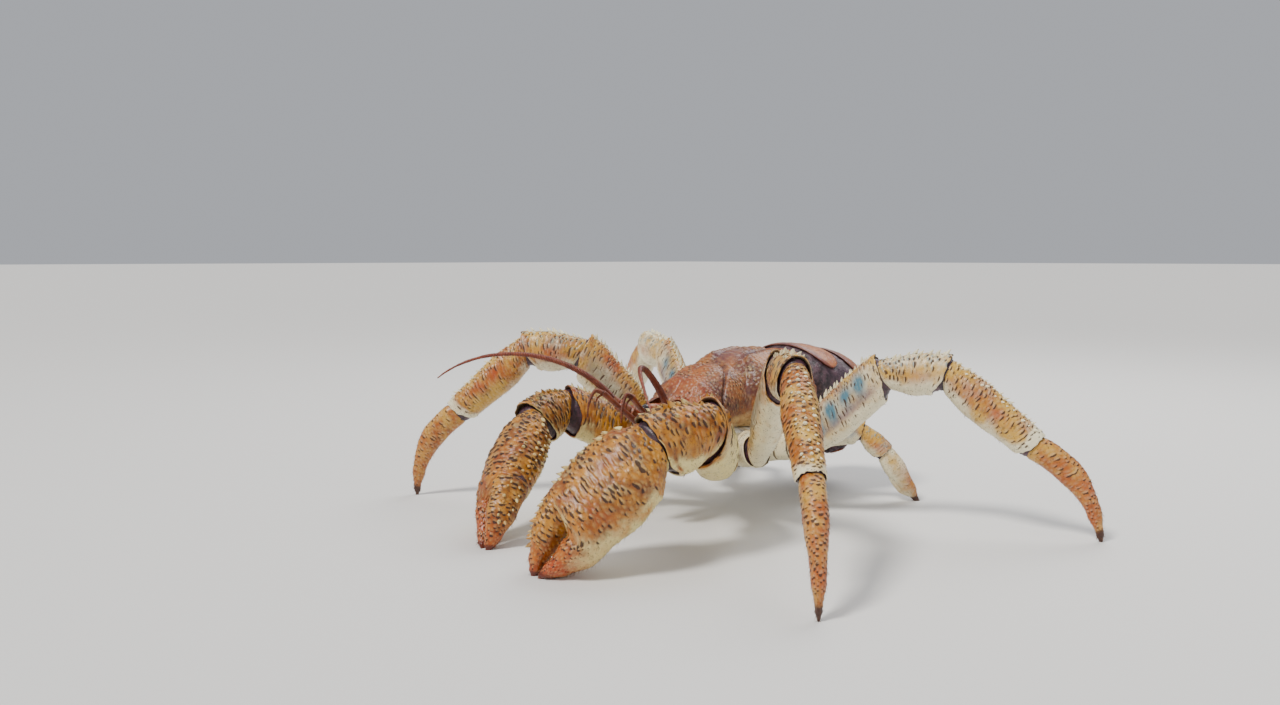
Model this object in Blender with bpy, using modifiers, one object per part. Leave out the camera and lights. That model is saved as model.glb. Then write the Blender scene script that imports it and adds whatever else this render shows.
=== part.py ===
# Coconut crab, life size, standing on a floor. Metres, +Z up, the head looks along -Y and its left is +X.
# Each shell piece is one closed solid. Neighbours meet face to face with GAP between them.

import math

import bmesh
import bpy
import numpy as np

# Driving dimensions
CARAPACE = 0.170  # rostrum tip to rear margin of the carapace
LEG = 0.112  # merus of the second leg, the longest segment
CLAW = 0.084  # palm of the large left claw, without its fingers
GAP = 0.0003  # between touching pieces
RIGHT_CLAW = 0.80  # girth of the right claw over the left
RIGHT_REACH = 0.92  # length of the right claw over the left

# Levels above the floor
SHELL_FLOOR = 0.090  # flat underside of the head and thorax
STERNUM_FLOOR = 0.052
HIP_LEVEL = 0.070

# Stations along the body, front to rear
HEAD_FRONT = -0.070
NECK = -0.008  # cervical groove, where the head shield meets the thorax
THORAX_REAR = HEAD_FRONT - 0.015 + CARAPACE

BODY_SIDES = 26
LIMB_SIDES = 10
CLAW_SIDES = 12
PALM_SIDES = 14
DIGIT_SIDES = 10
UP = np.array((0.0, 0.0, 1.0))

FINISHES = {  # colour, roughness
    "carapace_shell": ((0.44, 0.20, 0.07, 1), 0.45),
    "leg_shell": ((0.58, 0.33, 0.12, 1), 0.5),
    "claw_shell": ((0.50, 0.24, 0.07, 1), 0.45),
    "pale_shell": ((0.80, 0.76, 0.64, 1), 0.5),
    "abdomen_skin": ((0.09, 0.05, 0.06, 1), 0.6),
    "feeler": ((0.36, 0.13, 0.06, 1), 0.5),
    "eye": ((0.02, 0.01, 0.01, 1), 0.1),
}


def unit(v):
    return v / np.linalg.norm(v)


def smooth(u, knots):
    """Value at u of a curve through the knots, level at each of them."""
    at, value = zip(*knots)
    u = np.clip(np.asarray(u, float), at[0], at[-1])
    i = np.clip(np.searchsorted(at, u, side="right") - 1, 0, len(at) - 2)
    at, value = np.array(at), np.array(value)
    t = (u - at[i]) / (at[i + 1] - at[i])
    return value[i] + (value[i + 1] - value[i]) * (t * t * (3 - 2 * t))


def heading(azimuth, pitch, side=1):
    """Unit vector: azimuth in degrees from straight ahead towards that side, pitch above the horizon."""
    a, p = math.radians(azimuth), math.radians(pitch)
    return np.array((side * math.cos(p) * math.sin(a), -math.cos(p) * math.cos(a), math.sin(p)))


def oval(sides, power=1.0):
    """Cosine and sine round a superellipse, starting half a step past the +X axis."""
    angle = (np.arange(sides) + 0.5) * 2 * math.pi / sides
    c, s = np.cos(angle), np.sin(angle)
    return np.sign(c) * abs(c) ** power, np.sign(s) * abs(s) ** power


def finish(name):
    material = bpy.data.materials.get(name)
    if material is None:
        colour, roughness = FINISHES[name]
        material = bpy.data.materials.new(name)
        material.use_nodes = True
        shader = material.node_tree.nodes["Principled BSDF"]
        shader.inputs["Base Color"].default_value = colour
        shader.inputs["Roughness"].default_value = roughness
        shader.inputs["Metallic"].default_value = 0.0
    return material


def add_mesh(name, bm, finish_name):
    bmesh.ops.recalc_face_normals(bm, faces=bm.faces)
    mesh = bpy.data.meshes.new(name)
    bm.to_mesh(mesh)
    bm.free()
    mesh.shade_smooth()
    mesh.set_sharp_from_angle(angle=math.radians(50))
    mesh.materials.append(finish(finish_name))
    obj = bpy.data.objects.new(name, mesh)
    crab.objects.link(obj)
    return obj


def loft(name, rings, finish_name):
    """A closed solid through rings of equal point count, with a flat cap at each end."""
    bm = bmesh.new()
    rows = [[bm.verts.new(p) for p in ring] for ring in rings]
    count = len(rows[0])
    for a, b in zip(rows, rows[1:]):
        for i in range(count):
            j = (i + 1) % count
            bm.faces.new((a[i], a[j], b[j], b[i]))
    bm.faces.new(rows[0])
    bm.faces.new(rows[-1])
    return add_mesh(name, bm, finish_name)


def fuse(base, pieces):
    """One Boolean union of the pieces into base. The largest closed surface is kept."""
    group = bpy.data.collections.new(base.name + "_pieces")
    bpy.context.scene.collection.children.link(group)
    for piece in pieces:
        crab.objects.unlink(piece)
        group.objects.link(piece)
    join = base.modifiers.new("join", "BOOLEAN")
    join.operation = "UNION"
    join.operand_type = "COLLECTION"
    join.collection = group
    join.solver = "EXACT"
    graph = bpy.context.evaluated_depsgraph_get()
    mesh = bpy.data.meshes.new_from_object(base.evaluated_get(graph))
    base.modifiers.clear()
    base.data = mesh
    for piece in pieces:
        bpy.data.objects.remove(piece)
    bpy.data.collections.remove(group)
    keep_largest(base)
    return base


def keep_largest(obj):
    bm = bmesh.new()
    bm.from_mesh(obj.data)
    left, shells = set(bm.verts), []
    while left:
        stack, shell = [left.pop()], set()
        while stack:
            v = stack.pop()
            shell.add(v)
            near = {e.other_vert(v) for e in v.link_edges} & left
            left -= near
            stack.extend(near)
        shells.append(shell)
    shells.sort(key=len)
    for shell in shells[:-1]:
        bmesh.ops.delete(bm, geom=list(shell), context="VERTS")
    bm.to_mesh(obj.data)
    bm.free()


def reach(start, direction, offsets, plane, gap):
    """How far along direction each offset point lies from the plane, less the gap before it."""
    point, normal = plane
    return ((point - start - offsets) @ normal + gap) / (direction @ normal)


class Limb:
    """One straight limb segment with an oval section. Its ends are sheared onto two joint planes."""

    def __init__(
        self, root, tip, root_plane, tip_plane, size, profile, bow=0.0, roll=0.0, keel=0.0, grounded=False
    ):
        self.root, self.length = root, np.linalg.norm(tip - root)
        self.along = unit(tip - root)
        crest = unit(UP - self.along * self.along[2])
        across = np.cross(self.along, crest)
        turn = math.radians(roll)
        self.crest = crest * math.cos(turn) + across * math.sin(turn)
        self.across = np.cross(self.along, self.crest)
        self.root_plane, self.tip_plane = root_plane, tip_plane
        self.size, self.profile = size, profile
        self.bow, self.keel, self.grounded = bow, keel, grounded

    def offsets(self, u, c, s):
        """Section points at u: width times c across, height times s along the crest, plus the bow."""
        scale = smooth(u, self.profile)
        narrow = 1 - self.keel * np.clip(s, 0, 1)
        bend = self.bow * 4 * u * (1 - u)
        side = (self.size[0] * scale * c * narrow)[:, None] * self.across
        return side + (self.size[1] * scale * s + bend)[:, None] * self.crest

    def ring(self, u, sides=LIMB_SIDES, power=0.85):
        c, s = oval(sides, power)
        return self.points(u, c, s)

    def points(self, u, c, s):
        tip_gap = 0.0 if self.grounded else -GAP / 2
        first = reach(self.root, self.along, self.offsets(0.0, c, s), self.root_plane, GAP / 2)
        last = reach(self.root, self.along, self.offsets(1.0, c, s), self.tip_plane, tip_gap)
        far = first * (1 - u) + last * u
        return self.root + self.offsets(u, c, s) + far[:, None] * self.along

    def rings(self, count, sides=LIMB_SIDES, power=0.85):
        return np.array([self.ring(u, sides, power) for u in np.linspace(0, 1, count)])

    def skin_point(self, u, tilt):
        """Surface point at u, tilted in degrees from the crest, and the outward direction there."""
        a = math.radians(90 - tilt)
        c, s = math.cos(a), math.sin(a)
        outward = unit(self.across * c * self.size[1] + self.crest * s * self.size[0])
        return self.points(u, np.array([c]), np.array([s]))[0], outward


SPINE_SIDES = 4
SPINE_TIP = 0.14  # width of a spine's blunt tip over its foot
SPINE_SUNK = 0.0022  # depth of a spine's foot below the shell


def spine(at, direction, along, height, radius, lean=0.35):
    """A short tapered spine standing on a surface point and leaning along the limb, its foot sunk below."""
    direction = unit(direction + lean * along)
    side = unit(np.cross(direction, along))
    other = np.cross(direction, side)
    turns = (np.arange(SPINE_SIDES) + 0.5) * 2 * math.pi / SPINE_SIDES
    round_it = np.cos(turns)[:, None] * side + np.sin(turns)[:, None] * other
    foot = at - direction * SPINE_SUNK
    tip = at + direction * height
    return loft("spine", (foot + radius * round_it, tip + SPINE_TIP * radius * round_it), "pale_shell")


def armour(limb, rows, size=1.0):
    """Spines in rows along a limb, each a little unlike the next.

    A row is its tilt from the crest, start, end, count, height and radius.
    """
    spines = []
    for tilt, start, end, count, height, radius in rows:
        for u in np.linspace(start, end, count):
            wander = draw.uniform(-1, 1, 4)
            at, outward = limb.skin_point(u + 0.012 * wander[0], tilt + 5 * wander[1])
            tall = height * size * (1 + 0.25 * wander[2])
            spines.append(spine(at, outward, limb.along, tall, radius * size * (1 + 0.15 * wander[3])))
    return spines


# Profiles: share of the segment's full girth at points along it
BASE_SHAPE = ((0, 1.14), (0.5, 1.0), (1, 0.88))
MERUS_SHAPE = ((0, 0.66), (0.45, 1.0), (0.85, 0.98), (1, 0.88))
CARPUS_SHAPE = ((0, 0.74), (0.6, 1.0), (1, 0.9))
PROPODUS_SHAPE = ((0, 0.8), (0.35, 1.0), (0.85, 0.86), (1, 0.78))
DACTYL_SHAPE = ((0, 0.96), (0.3, 0.9), (0.75, 0.52), (1, 0.17))
PALM_SHAPE = ((0, 0.6), (0.3, 0.93), (0.6, 1.0), (1, 0.9))
FINGER_SHAPE = ((0, 1.0), (0.45, 0.84), (0.8, 0.5), (1, 0.25))
HAND_SHAPE = ((0, 0.85), (0.3, 1.0), (0.7, 0.7), (1, 0.25))

# Walking legs: name, length, azimuth, pitch, half width, half height, shape, keel
SECOND_LEG = (
    ("base", 0.34 * LEG, 57, 6, 0.0150, 0.0170, BASE_SHAPE, 0.0),
    ("merus", LEG, 55, 48, 0.0150, 0.0240, MERUS_SHAPE, 0.35),
    ("carpus", 0.54 * LEG, 52, 3, 0.0160, 0.0210, CARPUS_SHAPE, 0.2),
    ("propodus", 0.92 * LEG, 49, -41, 0.0150, 0.0190, PROPODUS_SHAPE, 0.15),
    ("dactyl", 0.94 * LEG, 46, None, 0.0105, 0.0140, DACTYL_SHAPE, 0.0),
)
THIRD_LEG = (
    ("base", 0.33 * LEG, 106, 3, 0.0145, 0.0165, BASE_SHAPE, 0.0),
    ("merus", 0.96 * LEG, 109, 44, 0.0140, 0.0225, MERUS_SHAPE, 0.35),
    ("carpus", 0.53 * LEG, 112, 3, 0.0152, 0.0200, CARPUS_SHAPE, 0.2),
    ("propodus", 0.92 * LEG, 115, -38, 0.0145, 0.0182, PROPODUS_SHAPE, 0.15),
    ("dactyl", 0.96 * LEG, 118, None, 0.0102, 0.0134, DACTYL_SHAPE, 0.0),
)
DACTYL_BOW = 0.13  # rise of a leg tip's arch over its length
FOURTH_LEG = (
    ("base", 0.22 * LEG, 140, 0, 0.0100, 0.0115, BASE_SHAPE, 0.0),
    ("merus", 0.50 * LEG, 134, 6, 0.0090, 0.0130, MERUS_SHAPE, 0.2),
    ("carpus", 0.30 * LEG, 134, -42, 0.0095, 0.0118, CARPUS_SHAPE, 0.1),
    ("hand", 0.58 * LEG, 136, None, 0.0090, 0.0115, HAND_SHAPE, 0.0),
)
# The large left claw's arm, before its fingers
CLAW_ARM = (
    ("base", 0.50 * CLAW, 56, 0, 0.0175, 0.0178, BASE_SHAPE, 0.0),
    ("merus", 1.10 * CLAW, 34, 27, 0.0220, 0.0300, MERUS_SHAPE, 0.3),
    ("carpus", 0.66 * CLAW, -12, -10, 0.0270, 0.0300, CARPUS_SHAPE, 0.2),
    ("palm", CLAW, -26, -42, 0.0300, 0.0400, PALM_SHAPE, 0.0),
)
PALM_ROLL = 50  # degrees inwards, so that the broad face looks up and out
FINGER_SIZE = (0.0205, 0.0168)
FINGER_OUT = 0.0196  # finger roots from the palm's middle line
TIP_OUT = 0.0056  # finger tips from the point between them
FINGER_SLOPE = -52
FINGER_BOW = 0.004
THUMB_SUNK = 0.012  # how far the fixed finger's root lies inside the palm

# Rows of spines: tilt from the crest in degrees, start and end along the limb, count, height, radius
LEG_SPINES = {
    "merus": ((0, 0.18, 0.90, 9, 0.0042, 0.0024),),
    "carpus": ((4, 0.16, 0.84, 6, 0.0046, 0.0025),),
    "propodus": ((6, 0.10, 0.88, 8, 0.0034, 0.0021),),
}
CLAW_SPINES = {
    "merus": ((0, 0.30, 0.90, 6, 0.0052, 0.0030),),
    "carpus": ((-6, 0.18, 0.84, 5, 0.0062, 0.0034), (34, 0.24, 0.82, 4, 0.0046, 0.0030)),
    "palm": ((-4, 0.12, 0.90, 6, 0.0056, 0.0034), (-38, 0.20, 0.84, 5, 0.0042, 0.0030)),
}
FINGER_SPINES = ((-30, 0.12, 0.62, 4, 0.0036, 0.0026),)
FINGER_TEETH = (0.16, 0.66, 4, 0.0030, 0.0040)  # start, end, count, height, radius of the grinding teeth


def side_name(side):
    return "left" if side > 0 else "right"


# Left half of the sternum's plan, front to rear: x and y
STERNUM_HALF = ((0.006, -0.046), (0.036, -0.024), (0.036, 0.050), (0.018, 0.078))


def sternum_plan(grow=0.0):
    """Plan of the sternum block, front to rear down the left and back up the right, grown outwards."""
    half = np.array(STERNUM_HALF)
    corners = np.concatenate((half, half[::-1] * (-1, 1)))
    before, after = np.roll(corners, 1, 0), np.roll(corners, -1, 0)

    def outward(a, b):
        edge = (b - a) / np.linalg.norm(b - a, axis=1)[:, None]
        return np.stack((-edge[:, 1], edge[:, 0]), 1) * -1

    n0, n1 = outward(before, corners), outward(corners, after)
    miter = (n0 + n1) / (1 + (n0 * n1).sum(1))[:, None]
    return corners + grow * miter


STERNUM_FLARE = 0.012  # how far the block's sides lean out from floor to top
STERNUM_CHAMFER = 0.008


def hip(side, corner, share):
    """Point and outward plane on the sternum's side after that corner of the plan, at HIP_LEVEL."""
    height = SHELL_FLOOR - GAP - STERNUM_FLOOR
    grow = STERNUM_FLARE * (HIP_LEVEL - STERNUM_FLOOR) / height
    plan = sternum_plan(grow)
    a, b = plan[corner], plan[corner + 1]
    spot = a + (b - a) * share
    edge = unit(b - a)
    outward = np.array((-edge[1], edge[0])) * -1
    normal = unit(np.array((*outward * height, -STERNUM_FLARE)))
    point = np.array((*spot, HIP_LEVEL))
    point[0] *= side
    normal[0] *= side
    return point, (point, normal)


def joint_plane(point, before, after):
    return point, unit(before + after)


def chain(prefix, side, start, plane, segments, finish_name, reach_scale=1.0, girth=1.0):
    """The segments of one limb, end to end. A pitch of None sets the last one down on the floor."""
    headings, joints = [], [start]
    length_of = [segment[1] * reach_scale for segment in segments]
    for length, (_, _, azimuth, pitch, *_) in zip(length_of, segments):
        if pitch is None:
            pitch = -math.degrees(math.asin(joints[-1][2] / length))
        headings.append(heading(azimuth, pitch, side))
        joints.append(joints[-1] + headings[-1] * length)
    limbs = {}
    for i, (part, _, _, pitch, half_width, half_height, shape, keel) in enumerate(segments):
        grounded = pitch is None
        last = i == len(segments) - 1
        first_plane = plane if i == 0 else joint_plane(joints[i], headings[i - 1], headings[i])
        if grounded:
            far_plane = (joints[i + 1], -UP)
        elif last:
            far_plane = (joints[i + 1], headings[i])
        else:
            far_plane = joint_plane(joints[i + 1], headings[i], headings[i + 1])
        bow = DACTYL_BOW * length_of[i] if part == "dactyl" else 0.0
        turned = side * PALM_ROLL if part == "palm" else 0.0
        limb = Limb(
            joints[i], joints[i + 1], first_plane, far_plane, (half_width * girth, half_height * girth),
            shape, bow, turned, keel, grounded,
        )
        limbs[part] = limb
        sides = PALM_SIDES if part == "palm" else CLAW_SIDES if prefix == "claw" else LIMB_SIDES
        shell = loft(f"{prefix}_{side_name(side)}_{part}", limb.rings(7, sides), finish_name)
        rows = (CLAW_SPINES if prefix == "claw" else LEG_SPINES).get(part, ())
        if rows and prefix != "leg4":
            fuse(shell, armour(limb, rows, girth))
    return limbs


def claw(side):
    """One claw-bearing limb: base, merus, carpus, palm with its fixed finger, and the moving finger."""
    girth, length = (1.0, 1.0) if side > 0 else (RIGHT_CLAW, RIGHT_REACH)
    start, plane = hip(side, 0, 0.5)
    limbs = chain("claw", side, start, plane, CLAW_ARM, "claw_shell", length, girth)
    palm = limbs["palm"]
    wrist = palm.root + palm.along * palm.length
    slope = heading(CLAW_ARM[-1][2], FINGER_SLOPE, side)
    touch = wrist + slope * (wrist[2] / -slope[2])
    spread = palm.crest * (1, 1, 0)
    for part, sign in (("finger", 1), ("thumb", -1)):
        root = wrist + palm.crest * sign * FINGER_OUT * girth
        tip = touch + unit(spread) * sign * TIP_OUT * girth
        sunk = 0.0 if part == "finger" else THUMB_SUNK
        size = (FINGER_SIZE[0] * girth, FINGER_SIZE[1] * girth)
        start_plane = (wrist - palm.along * sunk, palm.along)
        roll = math.degrees(math.atan2(palm.crest @ np.cross(unit(tip - root), UP), palm.crest[2]))
        bow = FINGER_BOW * sign * girth
        digit = Limb(root, tip, start_plane, (tip, -UP), size, FINGER_SHAPE, bow, roll, 0.0, True)
        shell = loft(f"claw_{side_name(side)}_{part}", digit.rings(8, DIGIT_SIDES), "claw_shell")
        first, last, count, height, radius = FINGER_TEETH
        inner = 180 if part == "finger" else 0
        teeth = armour(digit, ((inner, first, last, count, height, radius),), girth)
        if part == "finger":
            fuse(shell, teeth + armour(digit, FINGER_SPINES, girth))
        else:
            fuse(bpy.data.objects[f"claw_{side_name(side)}_palm"], [shell, *teeth])


def walking_leg(side, number, corner, share, segments):
    start, plane = hip(side, corner, share)
    return chain(f"leg{number}", side, start, plane, segments, "leg_shell")


SHELL_SQUARE = 0.9  # power that squares the shell's oval a little
BELLY_SHARE = 1.35  # how far the oval reaches below its middle before the flat underside cuts it
FURROW_DEPTH = 0.004  # the two furrows along the thorax
FURROW_PLACE = 0.25  # from the middle line, over the half width
FURROW_WIDTH = 0.14  # over the half width
FURROW_START = 0.15  # share of its course that a furrow has run at the neck


def body_ring(y, half_width, top, middle, furrow=0.0):
    """One upright section of the shell: an oval, furrowed on top and cut flat below at SHELL_FLOOR."""
    c, s = oval(BODY_SIDES, SHELL_SQUARE)
    x = half_width * c
    z = middle + np.where(s > 0, (top - middle) * s, (middle - SHELL_FLOOR) * BELLY_SHARE * s)
    from_furrow = np.abs(x) - FURROW_PLACE * half_width
    z -= furrow * np.exp(-((from_furrow / (FURROW_WIDTH * half_width)) ** 2)) * (s > 0)
    return np.stack((x, np.full_like(x, y), np.maximum(z, SHELL_FLOOR)), 1)


# Head and thorax outlines: share of the way back, then the value
HEAD_WIDTH = ((0, 0.034), (0.25, 0.041), (0.7, 0.045), (1, 0.043))
HEAD_TOP = ((0, 0.126), (0.3, 0.141), (0.75, 0.153), (1, 0.151))
THORAX_WIDTH = ((0, 0.045), (0.22, 0.060), (0.58, 0.074), (0.85, 0.068), (1, 0.054))
THORAX_TOP = ((0, 0.150), (0.3, 0.163), (0.65, 0.165), (1, 0.146))
THORAX_MIDDLE = 0.121
HEAD_MIDDLE = 0.112
HEAD_RINGS = 7
THORAX_RINGS = 10
ROSTRUM_LENGTH = 0.026
ROSTRUM_ROOTED = 0.011  # the part of its length inside the head
ROSTRUM_SIZE = (0.0125, 0.0052)  # half width and half height at its root
ROSTRUM_POINT = 0.0009  # half thickness of its tip
ROSTRUM_LEVEL = 0.1235
ROSTRUM_ARCH = 0.004  # rise of its back between root and tip
ROSTRUM_DROP = 0.003  # fall of its tip
ROSTRUM_SIDES = 8


def head():
    rings = []
    for u in np.linspace(0, 1, HEAD_RINGS):
        y = HEAD_FRONT + (NECK - HEAD_FRONT - GAP) * u
        rings.append(body_ring(y, smooth(u, HEAD_WIDTH), smooth(u, HEAD_TOP), HEAD_MIDDLE))
    shell = loft("head_shield", rings, "carapace_shell")
    beak = loft("rostrum", rostrum_rings(), "carapace_shell")
    fuse(shell, [beak, brow()])


BROW_REACH = 0.0035  # how far the shield's front edge stands out over the eyes
BROW_TOOTH = 0.0075  # and how much more at the two teeth outside the eyes
BROW_TOOTH_PLACE = 0.0265
BROW_TOOTH_WIDTH = 0.0045
BROW_SPAN = (14, 166)  # degrees round the front section, from its left side to its right
BROW_POINTS = 25
BROW_ROOTED = 0.004  # how far behind the head's front the edge starts
BROW_SUNK = 0.0012  # below the shield's surface, so that the edge grows out of it
BROW_WALL = 0.0026


def brow():
    """The front edge of the shield: hollow over each eye and drawn out into a tooth on its outer side."""
    around = np.radians(np.linspace(*BROW_SPAN, BROW_POINTS))
    c, s = np.cos(around), np.sin(around)
    x = smooth(0, HEAD_WIDTH) * np.sign(c) * abs(c) ** SHELL_SQUARE
    z = HEAD_MIDDLE + (smooth(0, HEAD_TOP) - HEAD_MIDDLE) * s**SHELL_SQUARE
    tooth = np.exp(-(((np.abs(x) - BROW_TOOTH_PLACE) / BROW_TOOTH_WIDTH) ** 2))
    rows = []
    for share in (0.0, 0.5, 1.0):
        y = HEAD_FRONT + BROW_ROOTED - share * (BROW_ROOTED + BROW_REACH + BROW_TOOTH * tooth)
        rows.append(np.stack((x, y, z - BROW_SUNK * (1 + share * tooth)), 1))
    return shell_patch(rows, BROW_WALL)


def rostrum_rings():
    """The pointed beak between the eyes: flat triangles that narrow forwards, its root inside the head."""
    rings = []
    c, s = oval(ROSTRUM_SIDES, SHELL_SQUARE)
    for u in np.linspace(0, 1, 5):
        y = HEAD_FRONT + ROSTRUM_ROOTED - ROSTRUM_LENGTH * u
        wide = ROSTRUM_SIZE[0] * (1 - u) ** 0.8 + ROSTRUM_POINT
        high = ROSTRUM_SIZE[1] * (1 - u) + ROSTRUM_POINT
        middle = ROSTRUM_LEVEL + ROSTRUM_ARCH * u * (1 - u) - ROSTRUM_DROP * u
        rings.append(np.stack((wide * c, np.full(ROSTRUM_SIDES, y), middle + high * s), 1))
    return rings


def thorax():
    rings = []
    for u in np.linspace(0, 1, THORAX_RINGS):
        y = NECK + (THORAX_REAR - NECK) * u
        furrow = FURROW_DEPTH * math.sin(math.pi * min(1, FURROW_START + u * (1 - FURROW_START)))
        rings.append(body_ring(y, smooth(u, THORAX_WIDTH), smooth(u, THORAX_TOP), THORAX_MIDDLE, furrow))
    loft("thorax_shield", rings, "carapace_shell")
    top = sternum_plan(STERNUM_FLARE)
    low = sternum_plan()
    keel = sternum_plan(-STERNUM_CHAMFER)
    levels = ((keel, STERNUM_FLOOR - STERNUM_CHAMFER / 2), (low, STERNUM_FLOOR), (top, SHELL_FLOOR - GAP))
    loft("sternum", [[(x, y, z) for x, y in plan] for plan, z in levels], "pale_shell")


# Abdomen: centreline from the thorax back and down, then tucked under by the tail
ABDOMEN_START = np.array((0.0, THORAX_REAR + GAP, 0.119))
ABDOMEN_LENGTH = 0.128
ABDOMEN_PITCH = (16, -62)
ABDOMEN_WIDTH = ((0, 0.042), (0.2, 0.058), (0.5, 0.067), (0.8, 0.056), (1, 0.030))
ABDOMEN_UPPER = ((0, 0.024), (0.25, 0.041), (0.6, 0.045), (1, 0.022))
ABDOMEN_LOWER = ((0, 0.024), (0.3, 0.046), (0.65, 0.044), (1, 0.020))
PLATE_SPANS = ((0.04, 0.17), (0.22, 0.41), (0.46, 0.65), (0.70, 0.86), (0.90, 0.985))
PLATE_REACH = (50, 62, 64, 62, 58)  # degrees down each side
PLATE_RAISED = 0.0028
PLATE_WALL = 0.0054
PLATE_TAPER = 0.45  # share of its length that a plate loses towards its sides


def abdomen_frame(u):
    """Point on the centreline, the way back along it and the way up from it."""
    steps = np.linspace(0, u, 41)
    turn = np.radians(ABDOMEN_PITCH[0] + (ABDOMEN_PITCH[1] - ABDOMEN_PITCH[0]) * steps)
    share = u * ABDOMEN_LENGTH / 40
    y = (np.cos(turn[:-1]) + np.cos(turn[1:])).sum() / 2 * share
    z = (np.sin(turn[:-1]) + np.sin(turn[1:])).sum() / 2 * share
    last = turn[-1]
    back = np.array((0.0, math.cos(last), math.sin(last)))
    return ABDOMEN_START + (0, y, z), back, np.array((0.0, -back[2], back[1]))


def abdomen_points(u, c, s, raised=0.0):
    point, back, rise = abdomen_frame(u)
    wide = smooth(u, ABDOMEN_WIDTH) + raised
    high = np.where(s > 0, smooth(u, ABDOMEN_UPPER), smooth(u, ABDOMEN_LOWER)) + raised
    points = point + (wide * c)[:, None] * np.array((1.0, 0, 0)) + (high * s)[:, None] * rise
    lean = (points[:, 1] - ABDOMEN_START[1]) * (1 - u) ** 3
    points[:, 1] -= lean
    return points


def plate_point(span, reach_down, v, t):
    """Point on a back plate, v from its front to its rear edge and t from side to side, where it narrows."""
    u = (span[0] + span[1]) / 2 + (v - 0.5) * (span[1] - span[0]) * (1 - PLATE_TAPER * t**4)
    around = math.radians(90 - reach_down * t)
    return abdomen_points(u, np.array([math.cos(around)]), np.array([math.sin(around)]), PLATE_RAISED)[0]


def abdomen():
    c, s = oval(24, 0.95)
    skin = loft("abdomen", [abdomen_points(u, c, s) for u in np.linspace(0, 1, 11)], "abdomen_skin")
    plates = []
    for span, reach_down in zip(PLATE_SPANS, PLATE_REACH):
        rows = [[plate_point(span, reach_down, v, t) for t in np.linspace(-1, 1, 11)] for v in (0, 0.5, 1)]
        plates.append(shell_patch(rows, PLATE_WALL))
    fuse(skin, plates)


def shell_patch(rows, thickness):
    """An open curved patch given its thickness by Solidify."""
    bm = bmesh.new()
    grid = [[bm.verts.new(p) for p in row] for row in rows]
    for a, b in zip(grid, grid[1:]):
        for i in range(len(a) - 1):
            bm.faces.new((a[i], b[i], b[i + 1], a[i + 1]))
    obj = add_mesh("plate", bm, "carapace_shell")
    if obj.data.polygons[0].normal.z < 0:
        obj.data.flip_normals()
    wall = obj.modifiers.new("wall", "SOLIDIFY")
    wall.thickness = thickness
    wall.offset = -1
    return obj


def tube(name, path, radii, finish_name, sides=8, start_plane=None, flat=1.0, end_plane=None):
    """A closed tube along a path of points, with a radius at each and its ends cut by the planes given."""
    path = np.array(path, float)
    steps = np.diff(path, axis=0)
    steps /= np.linalg.norm(steps, axis=1)[:, None]
    tangents = np.concatenate((steps[:1], steps[:-1] + steps[1:], steps[-1:]))
    tangents /= np.linalg.norm(tangents, axis=1)[:, None]
    side = unit(np.cross(tangents[0], UP if abs(tangents[0][2]) < 0.9 else (0, 1.0, 0)))
    c, s = oval(sides)
    rings = []
    for i, (point, tangent, radius) in enumerate(zip(path, tangents, radii)):
        side = unit(side - tangent * (side @ tangent))
        over = np.cross(tangent, side)
        ring = (radius * c)[:, None] * side + (radius * flat * s)[:, None] * over
        if i == 0 and start_plane is not None:
            ring = ring + reach(point, tangent, ring, start_plane, GAP)[:, None] * tangent
        if i == len(path) - 1 and end_plane is not None:
            ring = ring + reach(point, tangent, ring, end_plane, 0.0)[:, None] * tangent
        rings.append(point + ring)
    return loft(name, rings, finish_name)


def curve_through(points, count):
    """Evenly spread points on a smooth Catmull-Rom curve through the given ones."""
    p = np.array(points, float)
    p = np.concatenate((2 * p[:1] - p[1:2], p, 2 * p[-1:] - p[-2:-1]))
    found = []
    for t in np.linspace(0, len(points) - 1, count):
        i = min(int(t), len(points) - 2)
        f = t - i
        a, b, c, d = p[i : i + 4]
        square, cube = 2 * a - 5 * b + 4 * c - d, 3 * b - a - 3 * c + d
        found.append(0.5 * (2 * b + (c - a) * f + square * f**2 + cube * f**3))
    return np.array(found)


def face_plane():
    return np.array((0.0, HEAD_FRONT, 0.0)), np.array((0.0, -1.0, 0.0))


EYE_PLACE = (0.0098, 0.1135)
EYE_LENGTH = 0.019
EYE_RADIUS = 0.0062
EYE_FLAT = 0.78  # height over width
EYE_DOME = 1.25  # length of the dome over its radius
EYE_AIM = (20, -4)  # azimuth and pitch
STALK_SHAPE = ((0, 0.82), (0.35, 0.8), (0.75, 0.95), (1, 1.0))  # share of the length, share of the radius


def eyes(side):
    """The flattened eyestalk, and the dark eye on its end as a dome."""
    root = np.array((side * EYE_PLACE[0], HEAD_FRONT, EYE_PLACE[1]))
    forward = heading(*EYE_AIM, side)
    path = [root + forward * EYE_LENGTH * u for u, _ in STALK_SHAPE]
    radii = [EYE_RADIUS * r for _, r in STALK_SHAPE]
    end_plane = (path[-1], forward)
    tube(f"eyestalk_{side_name(side)}", path, radii, "feeler", 12, face_plane(), EYE_FLAT, end_plane)
    dome_root = path[-1] + forward * GAP
    turns = np.radians((0, 25, 48, 68, 84))
    path = [dome_root + forward * EYE_RADIUS * EYE_DOME * math.sin(t) for t in turns]
    radii = [EYE_RADIUS * math.cos(t) for t in turns]
    tube(f"eye_{side_name(side)}", path, radii, "eye", 12, None, EYE_FLAT)


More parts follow.
